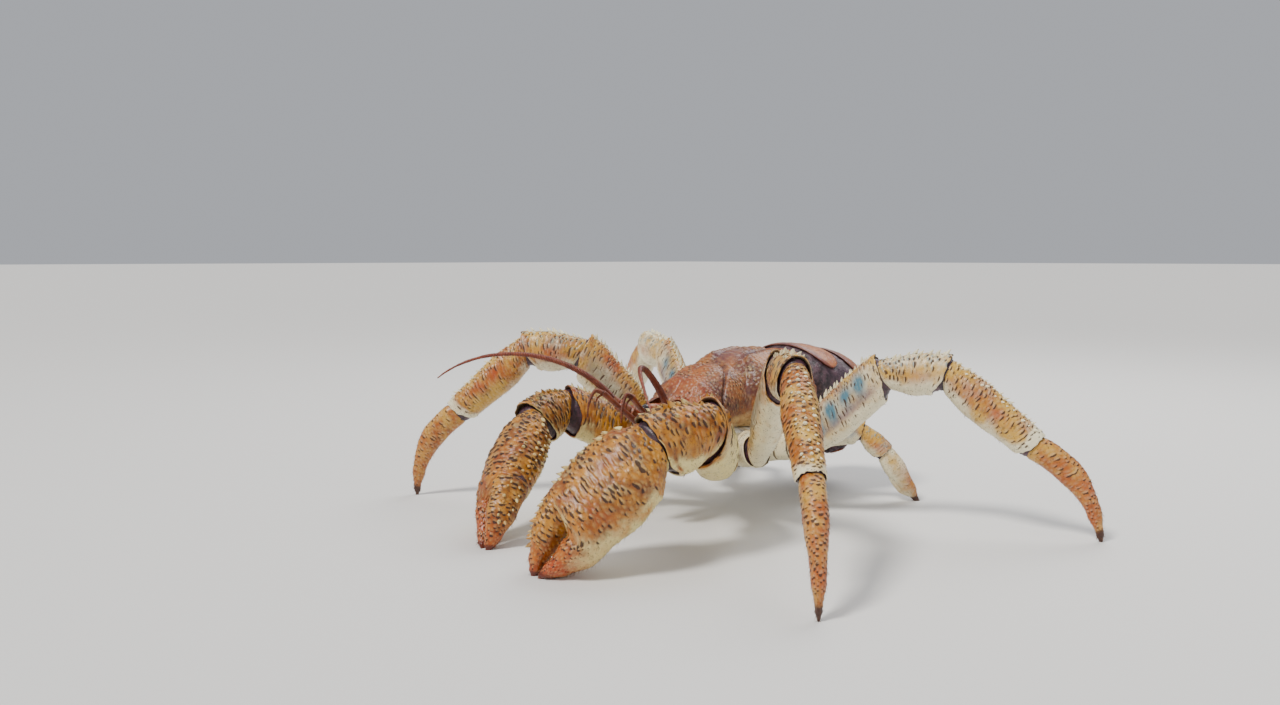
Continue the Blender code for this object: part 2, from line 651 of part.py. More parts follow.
# The left feelers' and mouth leg's paths from the head outwards, and their radii
ANTENNULE_ELBOW = (
    (0.0078, HEAD_FRONT, 0.1000),
    (0.0105, -0.088, 0.0975),
    (0.0125, -0.104, 0.1010),
    (0.0160, -0.124, 0.1180),
    (0.0200, -0.141, 0.1330),
)
ANTENNULE_RADII = (0.0044, 0.0036, 0.0032, 0.0024, 0.0028)
DROP_RADII = (0.0024, 0.0007)
ANTENNULE_DROP = ((0.0218, -0.1490, 0.1350), (0.0232, -0.1550, 0.1250), (0.0238, -0.1570, 0.1110))
ANTENNA_BASE = (
    (0.0245, HEAD_FRONT, 0.1020),
    (0.0275, -0.080, 0.1025),
    (0.0310, -0.092, 0.1065),
    (0.0350, -0.104, 0.1140),
    (0.0385, -0.113, 0.1230),
)
ANTENNA_RADII = (0.0082, 0.0088, 0.0074, 0.0066, 0.0044)
MOUTH_LEG = (
    (0.0120, -0.0656, SHELL_FLOOR),
    (0.0125, -0.0725, 0.0750),
    (0.0135, -0.0860, 0.0670),
    (0.0125, -0.0950, 0.0690),
    (0.0100, -0.1000, 0.0600),
    (0.0080, -0.0960, 0.0480),
)
MOUTH_LEG_RINGS = 11
MOUTH_LEG_RADII = ((0, 0.0066), (0.35, 0.0066), (0.5, 0.0052), (0.7, 0.0056), (1, 0.0018))


def antennule(side):
    """First feeler: three slender joints in an elbow, then a short flagellum that hangs from the end."""
    mirror = np.array((side, 1, 1))
    elbow = np.array(ANTENNULE_ELBOW) * mirror
    end = unit(elbow[-1] - elbow[-2])
    name = f"antennule_{side_name(side)}"
    tube(name, elbow, ANTENNULE_RADII, "feeler", 8, face_plane(), 1.0, (elbow[-1], end))
    drop = curve_through(np.concatenate((elbow[-1:], np.array(ANTENNULE_DROP) * mirror)), 8)
    radii = np.linspace(*DROP_RADII, len(drop))
    tube(f"{name}_flagellum", drop, radii, "feeler", 6, (elbow[-1], end))


WHIP_POINTS = 22
WHIP_LENGTH = 0.19
WHIP_AZIMUTH = (20, 62)  # degrees, root to tip
WHIP_PITCH = (48, -34)
WHIP_ROOT = 0.0030
WHIP_TIP = 0.0006


def antenna(side):
    """Second feeler: a stout jointed base, then a long tapering whip that arches forward and out."""
    base = np.array(ANTENNA_BASE) * (side, 1, 1)
    end = unit(base[-1] - base[-2])
    name = f"antenna_{side_name(side)}"
    tube(f"{name}_base", base, ANTENNA_RADII, "feeler", 10, face_plane(), 0.9, (base[-1], end))
    path = [base[-1]]
    steps = WHIP_POINTS - 1
    for azimuth, pitch in zip(np.linspace(*WHIP_AZIMUTH, steps), np.linspace(*WHIP_PITCH, steps)):
        path.append(path[-1] + heading(azimuth, pitch, side) * WHIP_LENGTH / steps)
    radii = WHIP_ROOT * (1 - np.linspace(0, 1, WHIP_POINTS)) ** 0.8 + WHIP_TIP
    tube(f"{name}_whip", path, radii, "feeler", 6, (base[-1], end))


def maxilliped(side):
    """Outer mouth leg: down and forward from the mouth, then folded back at its end."""
    path = curve_through(np.array(MOUTH_LEG) * (side, 1, 1), MOUTH_LEG_RINGS)
    radii = smooth(np.linspace(0, 1, MOUTH_LEG_RINGS), MOUTH_LEG_RADII)
    mouth = (np.array((0, 0, SHELL_FLOOR)), -UP)
    tube(f"maxilliped_{side_name(side)}", path, radii, "pale_shell", 8, mouth)


TAIL_LENGTH = 0.044
TAIL_STEPS = 7
TAIL_CURL = 95  # degrees that it turns on past the abdomen's last pitch
TAIL_WIDTH = ((0, 0.0280), (0.6, 0.0200), (1, 0.0050))
TAIL_FLAT = 0.60  # height over width


def tail():
    """The last segments, curled down and forward under the abdomen."""
    point, back, _ = abdomen_frame(1.0)
    pitch = math.degrees(math.atan2(back[2], back[1]))
    path = [point]
    shape = np.linspace(0, 1, TAIL_STEPS + 1)
    for u in shape[1:]:
        turn = math.radians(pitch - TAIL_CURL * u)
        path.append(path[-1] + np.array((0, math.cos(turn), math.sin(turn))) * TAIL_LENGTH / TAIL_STEPS)
    wide = smooth(shape, TAIL_WIDTH)
    tube("tail", path, wide, "abdomen_skin", 16, (point, back), TAIL_FLAT)


def stand_on_floor():
    """Moves the whole crab so that its box is centred over the origin."""
    places = [np.array([obj.matrix_world @ v.co for v in obj.data.vertices]) for obj in crab.objects]
    corners = np.concatenate(places)
    middle = (corners.min(0) + corners.max(0)) / 2
    anchor = bpy.data.objects.new("crab_anchor", None)
    bpy.context.scene.collection.objects.link(anchor)
    for obj in crab.objects:
        obj.parent = anchor
    anchor.location = (-middle[0], -middle[1], 0)


draw = np.random.default_rng(11)
for obj in list(bpy.data.objects):
    bpy.data.objects.remove(obj)
crab = bpy.data.collections.new("coconut_crab")
bpy.context.scene.collection.children.link(crab)

head()
thorax()
abdomen()
tail()
for body_side in (1, -1):
    eyes(body_side)
    antennule(body_side)
    antenna(body_side)
    maxilliped(body_side)
    claw(body_side)
    walking_leg(body_side, 2, 1, 0.26, SECOND_LEG)
    walking_leg(body_side, 3, 1, 0.76, THIRD_LEG)
    walking_leg(body_side, 4, 2, 0.62, FOURTH_LEG)
stand_on_floor()
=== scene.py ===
# Coconut crab, life size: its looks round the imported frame.
# Metres, +Z up. The head looks along -Y and the crab's left is +X.
import math
import bpy
import numpy as np
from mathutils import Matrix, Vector


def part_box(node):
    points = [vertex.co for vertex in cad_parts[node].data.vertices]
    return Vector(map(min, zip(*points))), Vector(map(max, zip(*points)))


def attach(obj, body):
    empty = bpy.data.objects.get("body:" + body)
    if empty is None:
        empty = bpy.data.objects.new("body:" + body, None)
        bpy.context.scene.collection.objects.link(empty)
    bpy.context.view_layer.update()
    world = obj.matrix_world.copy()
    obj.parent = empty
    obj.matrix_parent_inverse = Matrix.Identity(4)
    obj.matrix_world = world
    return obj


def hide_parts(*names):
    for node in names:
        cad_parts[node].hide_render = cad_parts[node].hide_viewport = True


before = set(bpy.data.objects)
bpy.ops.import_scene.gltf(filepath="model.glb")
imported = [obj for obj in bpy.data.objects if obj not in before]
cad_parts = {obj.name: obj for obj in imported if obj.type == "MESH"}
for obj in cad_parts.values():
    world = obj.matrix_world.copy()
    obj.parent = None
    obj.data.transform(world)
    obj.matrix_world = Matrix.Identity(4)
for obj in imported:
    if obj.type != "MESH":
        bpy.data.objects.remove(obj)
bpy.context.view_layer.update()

# Shared maths. Points are arrays whose last axis is x, y, z
up = np.array((0.0, 0.0, 1.0))
turn = 2 * math.pi


# Length 1 along the last axis
def unit(v):
    return v / (np.linalg.norm(v, axis=-1, keepdims=True) + 1e-12)


# A curve through (place, value) knots: a cubic ease from each to the next
def eased(u, knots):
    at, value = (np.array(row, float) for row in zip(*knots))
    u = np.clip(np.asarray(u, float), at[0], at[-1])
    i = np.clip(np.searchsorted(at, u, side="right") - 1, 0, len(at) - 2)
    t = (u - at[i]) / (at[i + 1] - at[i])
    return value[i] + (value[i + 1] - value[i]) * t * t * (3 - 2 * t)


# Kept between 0 and 1
def clamped(x):
    return np.clip(x, 0, 1)


# Smooth step t * t * (3 - 2 * t) from 0 at low to 1 at high
def ease(low, high, x):
    t = clamped((x - low) / (high - low))
    return t * t * (3 - 2 * t)


# A bell of height 1 and the given width round zero
def bell(x, width):
    return np.exp(-((x / width) ** 2))


# Unit vector: degrees from straight ahead to that side, and above the horizon
def heading(azimuth, pitch, side=1):
    a, p = math.radians(azimuth), math.radians(pitch)
    return np.array((side * math.cos(p) * math.sin(a), -math.cos(p) * math.cos(a), math.sin(p)))


# Angles of the columns of a ring, as a row
def columns(count):
    return np.arange(count)[None] * turn / count


# Cosine and sine raised to a power, which squares the oval a little
def ovalOf(angle, power):
    c, s = np.cos(angle), np.sin(angle)
    return np.sign(c) * abs(c) ** power, np.sign(s) * abs(s) ** power


# Whole numbers mixed into a repeatable share between 0 and 1
def chance(ix, iy, iz, seed):
    mixed = (ix.astype(np.int64) * 73856093) ^ (iy.astype(np.int64) * 19349663)
    mixed = np.ascontiguousarray(mixed ^ (iz.astype(np.int64) * 83492791) ^ (seed * 9781)).view(np.uint64)
    mixed = (mixed ^ (mixed >> np.uint64(13))) * np.uint64(0x9E3779B97F4A7C15)
    mixed = (mixed ^ (mixed >> np.uint64(29))) * np.uint64(0xBF58476D1CE4E5B9)
    return (mixed >> np.uint64(40)).astype(float) / 2.0**24


# Value noise from 0 to 1: the shares at a cell's eight corners blended, each octave half the size and weight
def cloud(p, size, seed, octaves=3):
    total, weight = 0.0, 0.0
    q = p / size
    for octave in range(octaves):
        base = np.floor(q)
        f = q - base
        f = f * f * (3 - 2 * f)
        value = 0.0
        for corner in range(8):
            step = np.array((corner & 1, corner >> 1 & 1, corner >> 2 & 1))
            share = np.prod(np.where(step, f, 1 - f), axis=-1)
            spot = base + step
            value = value + share * chance(spot[..., 0], spot[..., 1], spot[..., 2], seed + octave)
        total = total + value * 0.5**octave
        weight += 0.5**octave
        q = q * 2.03 + 17.3
    return total / weight


# The same noise about zero, from -0.5 to 0.5
def uneven(p, size, seed, octaves=2):
    return cloud(p, size, seed, octaves) - 0.5


# Noise at a (size, depth) pair's size, and that noise times its depth
def swelling(p, pair, seed, octaves=2):
    noise = uneven(p, pair[0], seed, octaves)
    return noise, pair[1] * noise


# The nearest of the points scattered one to a cell, rows set like bricks: the steps from it, and its share
def scaleField(x, y, wrap, seed):
    best = np.full(np.shape(x), 9.0)
    stepX, stepY, share = np.zeros(best.shape), np.zeros(best.shape), np.zeros(best.shape)
    cellX, cellY = np.floor(x), np.floor(y)
    none = np.zeros(best.shape)
    for i in (-1, 0, 1):
        for j in (-1, 0, 1):
            gx, gy = cellX + i, np.mod(cellY + j, wrap)
            dx = cellX + i + 0.5 + 0.6 * (chance(gx, gy, none, seed) - 0.5) + 0.5 * np.mod(gy, 2) - 0.25 - x
            dy = cellY + j + 0.5 + 0.6 * (chance(gx, gy, none, seed + 1) - 0.5) - y
            d = dx * dx + dy * dy
            near = d < best
            best = np.where(near, d, best)
            stepX, stepY = np.where(near, -dx, stepX), np.where(near, -dy, stepY)
            share = np.where(near, chance(gx, gy, none, seed + 2), share)
    return stepX, stepY, share


# Cross product of the grid's two directions, turned away from the ring centres
def gridNormals(p):
    n = unit(np.cross(np.gradient(p, axis=0), np.roll(p, -1, 1) - np.roll(p, 1, 1)))
    return n if ((p - p.mean(1, keepdims=True)) * n).sum() > 0 else -n


# Points moved along their normals by a height
def pushed(p, n, height):
    return p + n * height[..., None]


# Mesh parts: points, quads, triangles, and marks (one number a point) for the materials
markNames = ("spot", "pale", "warm", "cool", "tip", "worn")


# Every mark as one number a point, 0 where none is given
def marksOf(count, marks):
    return {name: np.broadcast_to(marks.get(name, 0.0), (count,)).astype(float) for name in markNames}


# Quads between rings of points, and each column's number and the next one's
def ringFaces(rows, around):
    ring = np.arange(around)
    after = (ring + 1) % around
    row = np.arange(rows - 1)[:, None] * around
    quads = np.stack((row + ring, row + around + ring, row + around + after, row + after), -1)
    return quads.reshape(-1, 4), ring, after


# Rings joined side to side, each end closed by a fan; faces turned outwards by volume
def tubePart(points, **marks):
    rows, around = points.shape[:2]
    v = points.reshape(-1, 3)
    quads, ring, after = ringFaces(rows, around)
    first, last = len(v), len(v) + 1
    v = np.concatenate((v, points[0].mean(0)[None], points[-1].mean(0)[None]))
    edge = (rows - 1) * around
    fans = (
        np.stack((np.full(around, first), ring, after), 1),
        np.stack((np.full(around, last), edge + after, edge + ring), 1),
    )
    flat = {}
    for name, value in marks.items():
        value = np.broadcast_to(value, (rows, around))
        flat[name] = np.concatenate((value.ravel(), [value[0].mean(), value[-1].mean()]))
    return outwards(dict(v=v, q=quads, t=np.concatenate(fans), m=marksOf(len(v), flat)))


# Faces turned over where the sum of a . (b x c), six times the volume, is negative
def outwards(part):
    v, q, t = part["v"], part["q"], part["t"]
    faces = np.concatenate((t, q[:, (0, 1, 2)], q[:, (0, 2, 3)]))
    a, b, c = (v[faces[:, n]] for n in range(3))
    if (a * np.cross(b, c)).sum() < 0:
        part["q"], part["t"] = q[:, ::-1], t[:, ::-1]
    return part


# Several parts as one, each one's faces numbered on
def joined(parts):
    start = np.cumsum([0] + [len(p["v"]) for p in parts])
    return dict(
        v=np.concatenate([p["v"] for p in parts]),
        q=np.concatenate([p["q"] + n for p, n in zip(parts, start)]),
        t=np.concatenate([p["t"] + n for p, n in zip(parts, start)]),
        m={name: np.concatenate([p["m"][name] for p in parts]) for name in markNames},
    )


# Many spikes at once: rings on a bent axis from a quarter of the height under the root, narrowing to a closed
# blunt tip. The tip mark is the share of height
def spikePart(root, direction, bend, height, radius, rings=4, sides=6, blunt=0.12, **marks):
    count = len(root)
    height, radius = np.broadcast_to(height, (count,)), np.broadcast_to(radius, (count,))
    direction = unit(direction)
    side = unit(np.cross(direction, direction[:, (1, 2, 0)] + (0.31, 0.17, 0.53)))
    other = np.cross(direction, side)
    share = np.linspace(0, 1, rings)
    reach = share * 1.25 - 0.25
    axis = root[:, None] + (height[:, None] * reach)[..., None] * direction[:, None]
    axis = axis + (height[:, None] * clamped(reach) ** 2)[..., None] * bend[:, None]
    wide = radius[:, None] * (blunt + (1 - blunt) * (1 - share) ** 0.8)
    angle = np.arange(sides) * turn / sides
    circle = np.cos(angle)[None, :, None] * side[:, None] + np.sin(angle)[None, :, None] * other[:, None]
    ringPoints = axis[:, :, None] + wide[:, :, None, None] * circle[:, None]
    foot, top = axis[:, 0], axis[:, -1] + direction * (radius * blunt)[:, None]
    v = np.concatenate((ringPoints.reshape(count, -1, 3), foot[:, None], top[:, None]), 1)
    per = rings * sides + 2
    quads, ring, after = ringFaces(rings, sides)
    t = np.concatenate((
        np.stack((np.full(sides, per - 2), after, ring), 1),
        np.stack((np.full(sides, per - 1), (rings - 1) * sides + ring, (rings - 1) * sides + after), 1),
    ))
    steps = (np.arange(count) * per)[:, None, None]
    tipShare = np.concatenate((np.repeat(share, sides), [0, 1]))
    flat = {name: np.repeat(np.broadcast_to(value, (count,)), per) for name, value in marks.items()}
    flat["tip"] = np.tile(tipShare, count) * flat.get("tip", 1.0)
    q = (quads[:, (0, 3, 2, 1)] + steps).reshape(-1, 4)
    part = dict(v=v.reshape(-1, 3), q=q, t=(t + steps).reshape(-1, 3))
    part["m"] = marksOf(count * per, flat)
    return part


# The frame's own shift: the source builds the thorax round x = 0 and ends it at a named station
build = dict(
    carapace=0.17, leg=0.112, claw=0.084, rightGirth=0.8, rightReach=0.92,
    shellFloor=0.09, sternumFloor=0.052, hipLevel=0.07, headFront=-0.07, neck=-0.008, gap=0.0003,
)
frontY, neckY, shellZ = (build[name] for name in ("headFront", "neck", "shellFloor"))
thoraxRear = frontY - 0.015 + build["carapace"]
thoraxLow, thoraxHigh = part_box("thorax_shield")
shift = np.array(((thoraxLow.x + thoraxHigh.x) / 2, thoraxHigh.y - thoraxRear, 0.0))
pieces = {}


# One mesh object from a part, riding on the root body in place of the named nodes
def place(name, part, finish, nodes=()):
    mesh = bpy.data.meshes.new(name)
    v, q, t = part["v"] + shift, part["q"], part["t"]
    v[:, 2] = np.maximum(v[:, 2], 0.0)
    mesh.vertices.add(len(v))
    mesh.vertices.foreach_set("co", v.astype(np.float32).ravel())
    mesh.loops.add(q.size + t.size)
    mesh.loops.foreach_set("vertex_index", np.concatenate((q.ravel(), t.ravel())).astype(np.int32))
    mesh.polygons.add(len(q) + len(t))
    starts = np.concatenate((np.arange(len(q)) * 4, q.size + np.arange(len(t)) * 3))
    mesh.polygons.foreach_set("loop_start", starts.astype(np.int32))
    mesh.update(calc_edges=True)
    mesh.validate()
    mesh.shade_smooth()
    for markName, values in part["m"].items():
        layer = mesh.attributes.new(markName, "FLOAT", "POINT")
        layer.data.foreach_set("value", values.astype(np.float32))
    mesh.materials.append(finishes[finish])
    obj = newObject(name, mesh)
    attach(obj, "root")
    if nodes:
        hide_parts(*nodes)
    pieces[name] = obj
    return obj


# A new object in the scene
def newObject(name, data):
    obj = bpy.data.objects.new(name, data)
    bpy.context.scene.collection.objects.link(obj)
    return obj


# Materials. A new node with its settings
def addNode(tree, kind, **settings):
    node = tree.nodes.new(kind)
    for key, value in settings.items():
        setattr(node, key, value)
    return node


# A value set on a socket, or a link into it from another
def feed(tree, socket, value):
    if isinstance(value, bpy.types.NodeSocket):
        tree.links.new(value, socket)
    else:
        socket.default_value = value


# Values or links into a node's named sockets
def feedAll(tree, node, values):
    for label, value in values.items():
        feed(tree, node.inputs[label], value)


# A new material with its shader's constants, its tree and its shader
def newMaterial(name, constants):
    material = bpy.data.materials.new(name)
    material.use_nodes = True
    shader = material.node_tree.nodes["Principled BSDF"]
    feedAll(material.node_tree, shader, constants)
    return material, material.node_tree, shader


# A height as the shader's bump, this many metres deep
def addBump(tree, shader, height, depth):
    relief = addNode(tree, "ShaderNodeBump")
    feedAll(tree, relief, dict(Height=height, Distance=depth))
    feed(tree, shader.inputs["Normal"], relief.outputs["Normal"])


# Place on the object, in its own metres
def objectPlace(tree):
    return addNode(tree, "ShaderNodeTexCoord").outputs["Object"]


# Two numbers or sockets added, subtracted or multiplied
def calc(tree, operation, a, b):
    node = addNode(tree, "ShaderNodeMath", operation=operation)
    feed(tree, node.inputs[0], a)
    feed(tree, node.inputs[1], b)
    return node.outputs[0]


# Their product
def times(tree, a, b):
    return calc(tree, "MULTIPLY", a, b)


# A smooth step of a value from low to high
def spread(tree, value, low, high, toLow=0.0, toHigh=1.0):
    node = addNode(tree, "ShaderNodeMapRange", interpolation_type="SMOOTHSTEP")
    for socket, number in zip(node.inputs[:5], (value, low, high, toLow, toHigh)):
        feed(tree, socket, number)
    return node.outputs[0]


# Colour a turned into b by a share
def blendOf(tree, share, a, b, way="MIX"):
    node = addNode(tree, "ShaderNodeMix", data_type="RGBA", blend_type=way, clamp_factor=True)
    feed(tree, node.inputs[0], share)
    feed(tree, node.inputs[6], a)
    feed(tree, node.inputs[7], b)
    return node.outputs[2]


# Noise from 0 to 1, in waves per metre
def noiseOf(tree, vector, scale, detail=3.0, roughness=0.55):
    node = addNode(tree, "ShaderNodeTexNoise")
    feedAll(tree, node, dict(Vector=vector, Scale=scale, Detail=detail, Roughness=roughness))
    return node.outputs["Fac"]


# Distance to the nearest of scattered points
def cellsOf(tree, vector, scale):
    node = addNode(tree, "ShaderNodeTexVoronoi")
    feedAll(tree, node, dict(Vector=vector, Scale=scale))
    return node.outputs["Distance"]


# One of the mesh's marks
def markOf(tree, name):
    return addNode(tree, "ShaderNodeAttribute", attribute_name=name).outputs["Fac"]


# One number as a grey
def greyOf(tree, value):
    node = addNode(tree, "ShaderNodeCombineColor")
    for socket in node.inputs:
        feed(tree, socket, value)
    return node.outputs[0]


# A mark whose edge is made ragged: the mark plus the noise's distance from its middle times an amount
def ragged(tree, name, noise, amount):
    return calc(tree, "ADD", markOf(tree, name), times(tree, calc(tree, "SUBTRACT", noise, 0.5), amount))


# A node group with sockets of (name, kind), and its input and output nodes
def newGroup(name, inputs, outputs):
    group = bpy.data.node_groups.new(name, "ShaderNodeTree")
    for way, sockets in (("INPUT", inputs), ("OUTPUT", outputs)):
        for label, kind in sockets:
            group.interface.new_socket(label, in_out=way, socket_type="NodeSocket" + kind)
    return group, group.nodes.new("NodeGroupInput"), group.nodes.new("NodeGroupOutput")


# Shares of 255 in sRGB as a linear colour
def rgb(*shares):
    part = np.array(shares) / 255
    linear = np.where(part > 0.04, ((part + 0.055) / 1.055) ** 2.4, part / 12.92)
    return (*linear.tolist(), 1.0)


# Horn: noise scales, the band of a noise or mark in which each layer comes in, its ragged edge and strength,
# and what the noises do to roughness and height
horn = dict(
    fine=900.0, stains=120.0, specks=520.0, gate=260.0, pores=700.0,
    secondBand=(0.38, 0.62), paleBand=(0.3, 0.75), warmBand=(0.3, 0.6, 0.55, 1.0), stainBand=(0.53, 0.68),
    stainOnPale=(0.0, 1.0, 1.0, 0.35), wornBand=(0.3, 0.7, 0.5, 1.0), speckBand=(0.34, 0.24),
    gateBand=(0.5, 0.56), spotBand=(0.34, 0.6), tipBand=(0.45, 0.85), poreBand=(0.0, 0.35),
    paleEdge=1.1, spotEdge=0.9, tipEdge=0.3, worn=0.6, spot=0.9, shade=0.16,
    rough=0.26, fineRough=0.22, spotRough=0.14, poreHeight=0.5, fineHeight=0.8, spotDepth=0.35,
)


hornColours = ("Ground", "Second", "Pale", "Warm", "Cool", "Dark", "Tip")
hornAmounts = ("Mottle", "Speck Share", "Stain")


# Horny shell: mottled ground, pale and painted areas, stains, specks, ragged dark spots, worn tops and dark
# tips, each blended over the last by a mark of the mesh or a band of noise. The dark spot mark holds the
# shell's own dark marks together with painted shade in the scales' steps, the grooves and the lips turned in
def makeShellGroup():
    inputs = [("Vector", "Vector")] + [(label, "Color") for label in hornColours]
    inputs += [(label, "Float") for label in hornAmounts]
    outputs = [("Colour", "Color"), ("Roughness", "Float"), ("Height", "Float")]
    tree, source, out = newGroup("hornyShell", inputs, outputs)
    at = source.outputs
    where = at["Vector"]
    broad = noiseOf(tree, where, at["Mottle"], 4.0, 0.6)
    fine = noiseOf(tree, where, horn["fine"], 3.0, 0.6)
    second = spread(tree, broad, *horn["secondBand"])
    pale = spread(tree, ragged(tree, "pale", broad, horn["paleEdge"]), *horn["paleBand"])
    warm = times(tree, markOf(tree, "warm"), spread(tree, broad, *horn["warmBand"]))
    stain = spread(tree, noiseOf(tree, where, horn["stains"], 5.0, 0.72), *horn["stainBand"])
    stain = times(tree, times(tree, stain, at["Stain"]), spread(tree, pale, *horn["stainOnPale"]))
    worn = times(tree, markOf(tree, "worn"), spread(tree, fine, *horn["wornBand"]))
    gate = spread(tree, noiseOf(tree, where, horn["gate"], 2.0), *horn["gateBand"])
    specks = times(tree, spread(tree, cellsOf(tree, where, horn["specks"]), *horn["speckBand"]), gate)
    # The spot mark: the shell's own dark marks together with painted shade in steps, grooves and turned-in
    # lips
    spot = spread(tree, ragged(tree, "spot", fine, horn["spotEdge"]), *horn["spotBand"])
    tip = spread(tree, ragged(tree, "tip", fine, horn["tipEdge"]), *horn["tipBand"])
    colour = at["Ground"]
    for share, label in (
        (second, "Second"), (pale, "Pale"), (warm, "Warm"), (markOf(tree, "cool"), "Cool"), (stain, "Dark"),
        (times(tree, worn, horn["worn"]), "Pale"), (times(tree, specks, at["Speck Share"]), "Dark"),
        (times(tree, spot, horn["spot"]), "Dark"), (tip, "Tip"),
    ):
        colour = blendOf(tree, share, colour, at[label])
    colour = blendOf(tree, horn["shade"], colour, greyOf(tree, fine), "MULTIPLY")
    rough = calc(tree, "ADD", times(tree, fine, horn["fineRough"]), horn["rough"])
    rough = calc(tree, "ADD", rough, times(tree, spot, horn["spotRough"]))
    pores = spread(tree, cellsOf(tree, where, horn["pores"]), *horn["poreBand"])
    height = calc(tree, "ADD", times(tree, pores, horn["poreHeight"]), times(tree, fine, horn["fineHeight"]))
    height = calc(tree, "SUBTRACT", height, times(tree, spot, horn["spotDepth"]))
    feedAll(tree, out, dict(Colour=colour, Roughness=rough, Height=height))
    return tree


shellGroup = makeShellGroup()
shellBump = 0.00025
shellShine = {"Coat Roughness": 0.25, "Specular IOR Level": 0.45}


# One shell finish: the group's inputs, and its outputs to the shader, the height as a bump
def shellFinish(name, *values):
    *values, coat = values
    material, tree, shader = newMaterial(name, {**shellShine, "Coat Weight": coat})
    group = addNode(tree, "ShaderNodeGroup", node_tree=shellGroup)
    feed(tree, group.inputs["Vector"], objectPlace(tree))
    for label, value in zip(hornColours + hornAmounts, values):
        feed(tree, group.inputs[label], rgb(*value) if label in hornColours else value)
    out = group.outputs
    feedAll(tree, shader, {"Base Color": out["Colour"], "Roughness": out["Roughness"]})
    addBump(tree, shader, out["Height"], shellBump)
    return material


# Each shell's colours and amounts in the group's order, then its coat
shellFinishes = dict(
    clawShell=(
        (196, 130, 30), (136, 74, 12), (240, 222, 150), (172, 66, 8), (84, 132, 150), (48, 20, 10),
        (104, 36, 14), 55.0, 0.6, 0.55, 0.12,
    ),
    legShell=(
        (210, 164, 66), (168, 94, 20), (244, 234, 196), (176, 74, 6), (64, 122, 146), (62, 32, 12),
        (66, 34, 18), 48.0, 0.55, 0.45, 0.12,
    ),
    secondLegShell=(
        (210, 164, 66), (168, 94, 20), (244, 234, 196), (176, 74, 6), (128, 142, 128), (62, 32, 12),
        (66, 34, 18), 52.0, 0.6, 0.5, 0.12,
    ),
    carapaceShell=(
        (162, 96, 40), (98, 48, 34), (226, 198, 136), (170, 68, 24), (84, 62, 92), (44, 22, 18),
        (50, 24, 16), 46.0, 0.6, 0.6, 0.12,
    ),
    paleShell=(
        (226, 214, 180), (206, 180, 130), (240, 236, 220), (190, 100, 50), (84, 132, 150), (70, 50, 40),
        (90, 60, 40), 60.0, 0.35, 0.3, 0.12,
    ),
    backPlates=(
        (192, 116, 56), (158, 82, 42), (228, 184, 132), (122, 56, 50), (96, 52, 56), (60, 28, 26),
        (60, 34, 34), 44.0, 0.45, 0.3, 0.14,
    ),
    feelerShell=(
        (150, 74, 40), (112, 50, 30), (214, 170, 110), (170, 60, 30), (84, 132, 150), (52, 26, 20),
        (60, 30, 22), 90.0, 0.4, 0.3, 0.12,
    ),
    mouthLegs=(
        (112, 74, 46), (70, 44, 32), (208, 182, 132), (150, 70, 34), (84, 132, 150), (38, 24, 20),
        (36, 22, 18), 120.0, 0.4, 0.3, 0.12,
    ),
)
finishes = {name: shellFinish(name, *row) for name, row in shellFinishes.items()}
print("materials ready")


# Limbs. A segment is an oval tube whose girth follows a profile, its ends sheared on to the joint planes
sternumHalf = np.array(((0.006, -0.046), (0.036, -0.024), (0.036, 0.05), (0.018, 0.078)))
sternumFlare = 0.012


# Plan of the breast block: the half mirrored, each corner pushed out along its two edges' normals
def sternumPlan(grow=0.0):
    corners = np.concatenate((sternumHalf, sternumHalf[::-1] * (-1, 1)))
    edges = unit(np.roll(corners, -1, 0) - corners)
    normals = np.stack((edges[:, 1], -edges[:, 0]), 1)
    before = np.roll(normals, 1, 0)
    return corners + grow * (before + normals) / (1 + (before * normals).sum(1))[:, None]


# A limb's root on the block's leaning side: a share of the way between two corners of the plan
def hip(side, corner, share):
    height = shellZ - build["gap"] - build["sternumFloor"]
    plan = sternumPlan(sternumFlare * (build["hipLevel"] - build["sternumFloor"]) / height)
    a, b = plan[corner], plan[corner + 1]
    edge = unit(b - a)
    normal = unit(np.array((edge[1] * height, -edge[0] * height, -sternumFlare)))
    mirror = np.array((side, 1, 1))
    point = np.array((*(a + (b - a) * share), build["hipLevel"])) * mirror
    return point, (point, normal * mirror)


shapes = dict(
    base=((0, 1.14), (0.5, 1), (1, 0.88)),
    merus=((0, 0.66), (0.45, 1), (0.85, 0.98), (1, 0.88)),
    carpus=((0, 0.74), (0.6, 1), (1, 0.9)),
    propodus=((0, 0.8), (0.35, 1), (0.85, 0.86), (1, 0.78)),
    dactyl=((0, 0.96), (0.3, 0.9), (0.75, 0.52), (0.94, 0.24), (1, 0.1)),
    palm=((0, 0.6), (0.3, 0.93), (0.6, 1), (1, 0.9)),
    finger=((0, 1), (0.45, 0.84), (0.8, 0.5), (0.94, 0.31), (1, 0.16)),
    hand=((0, 0.85), (0.3, 1), (0.7, 0.7), (1, 0.25)),
)
leg, claw = build["leg"], build["claw"]
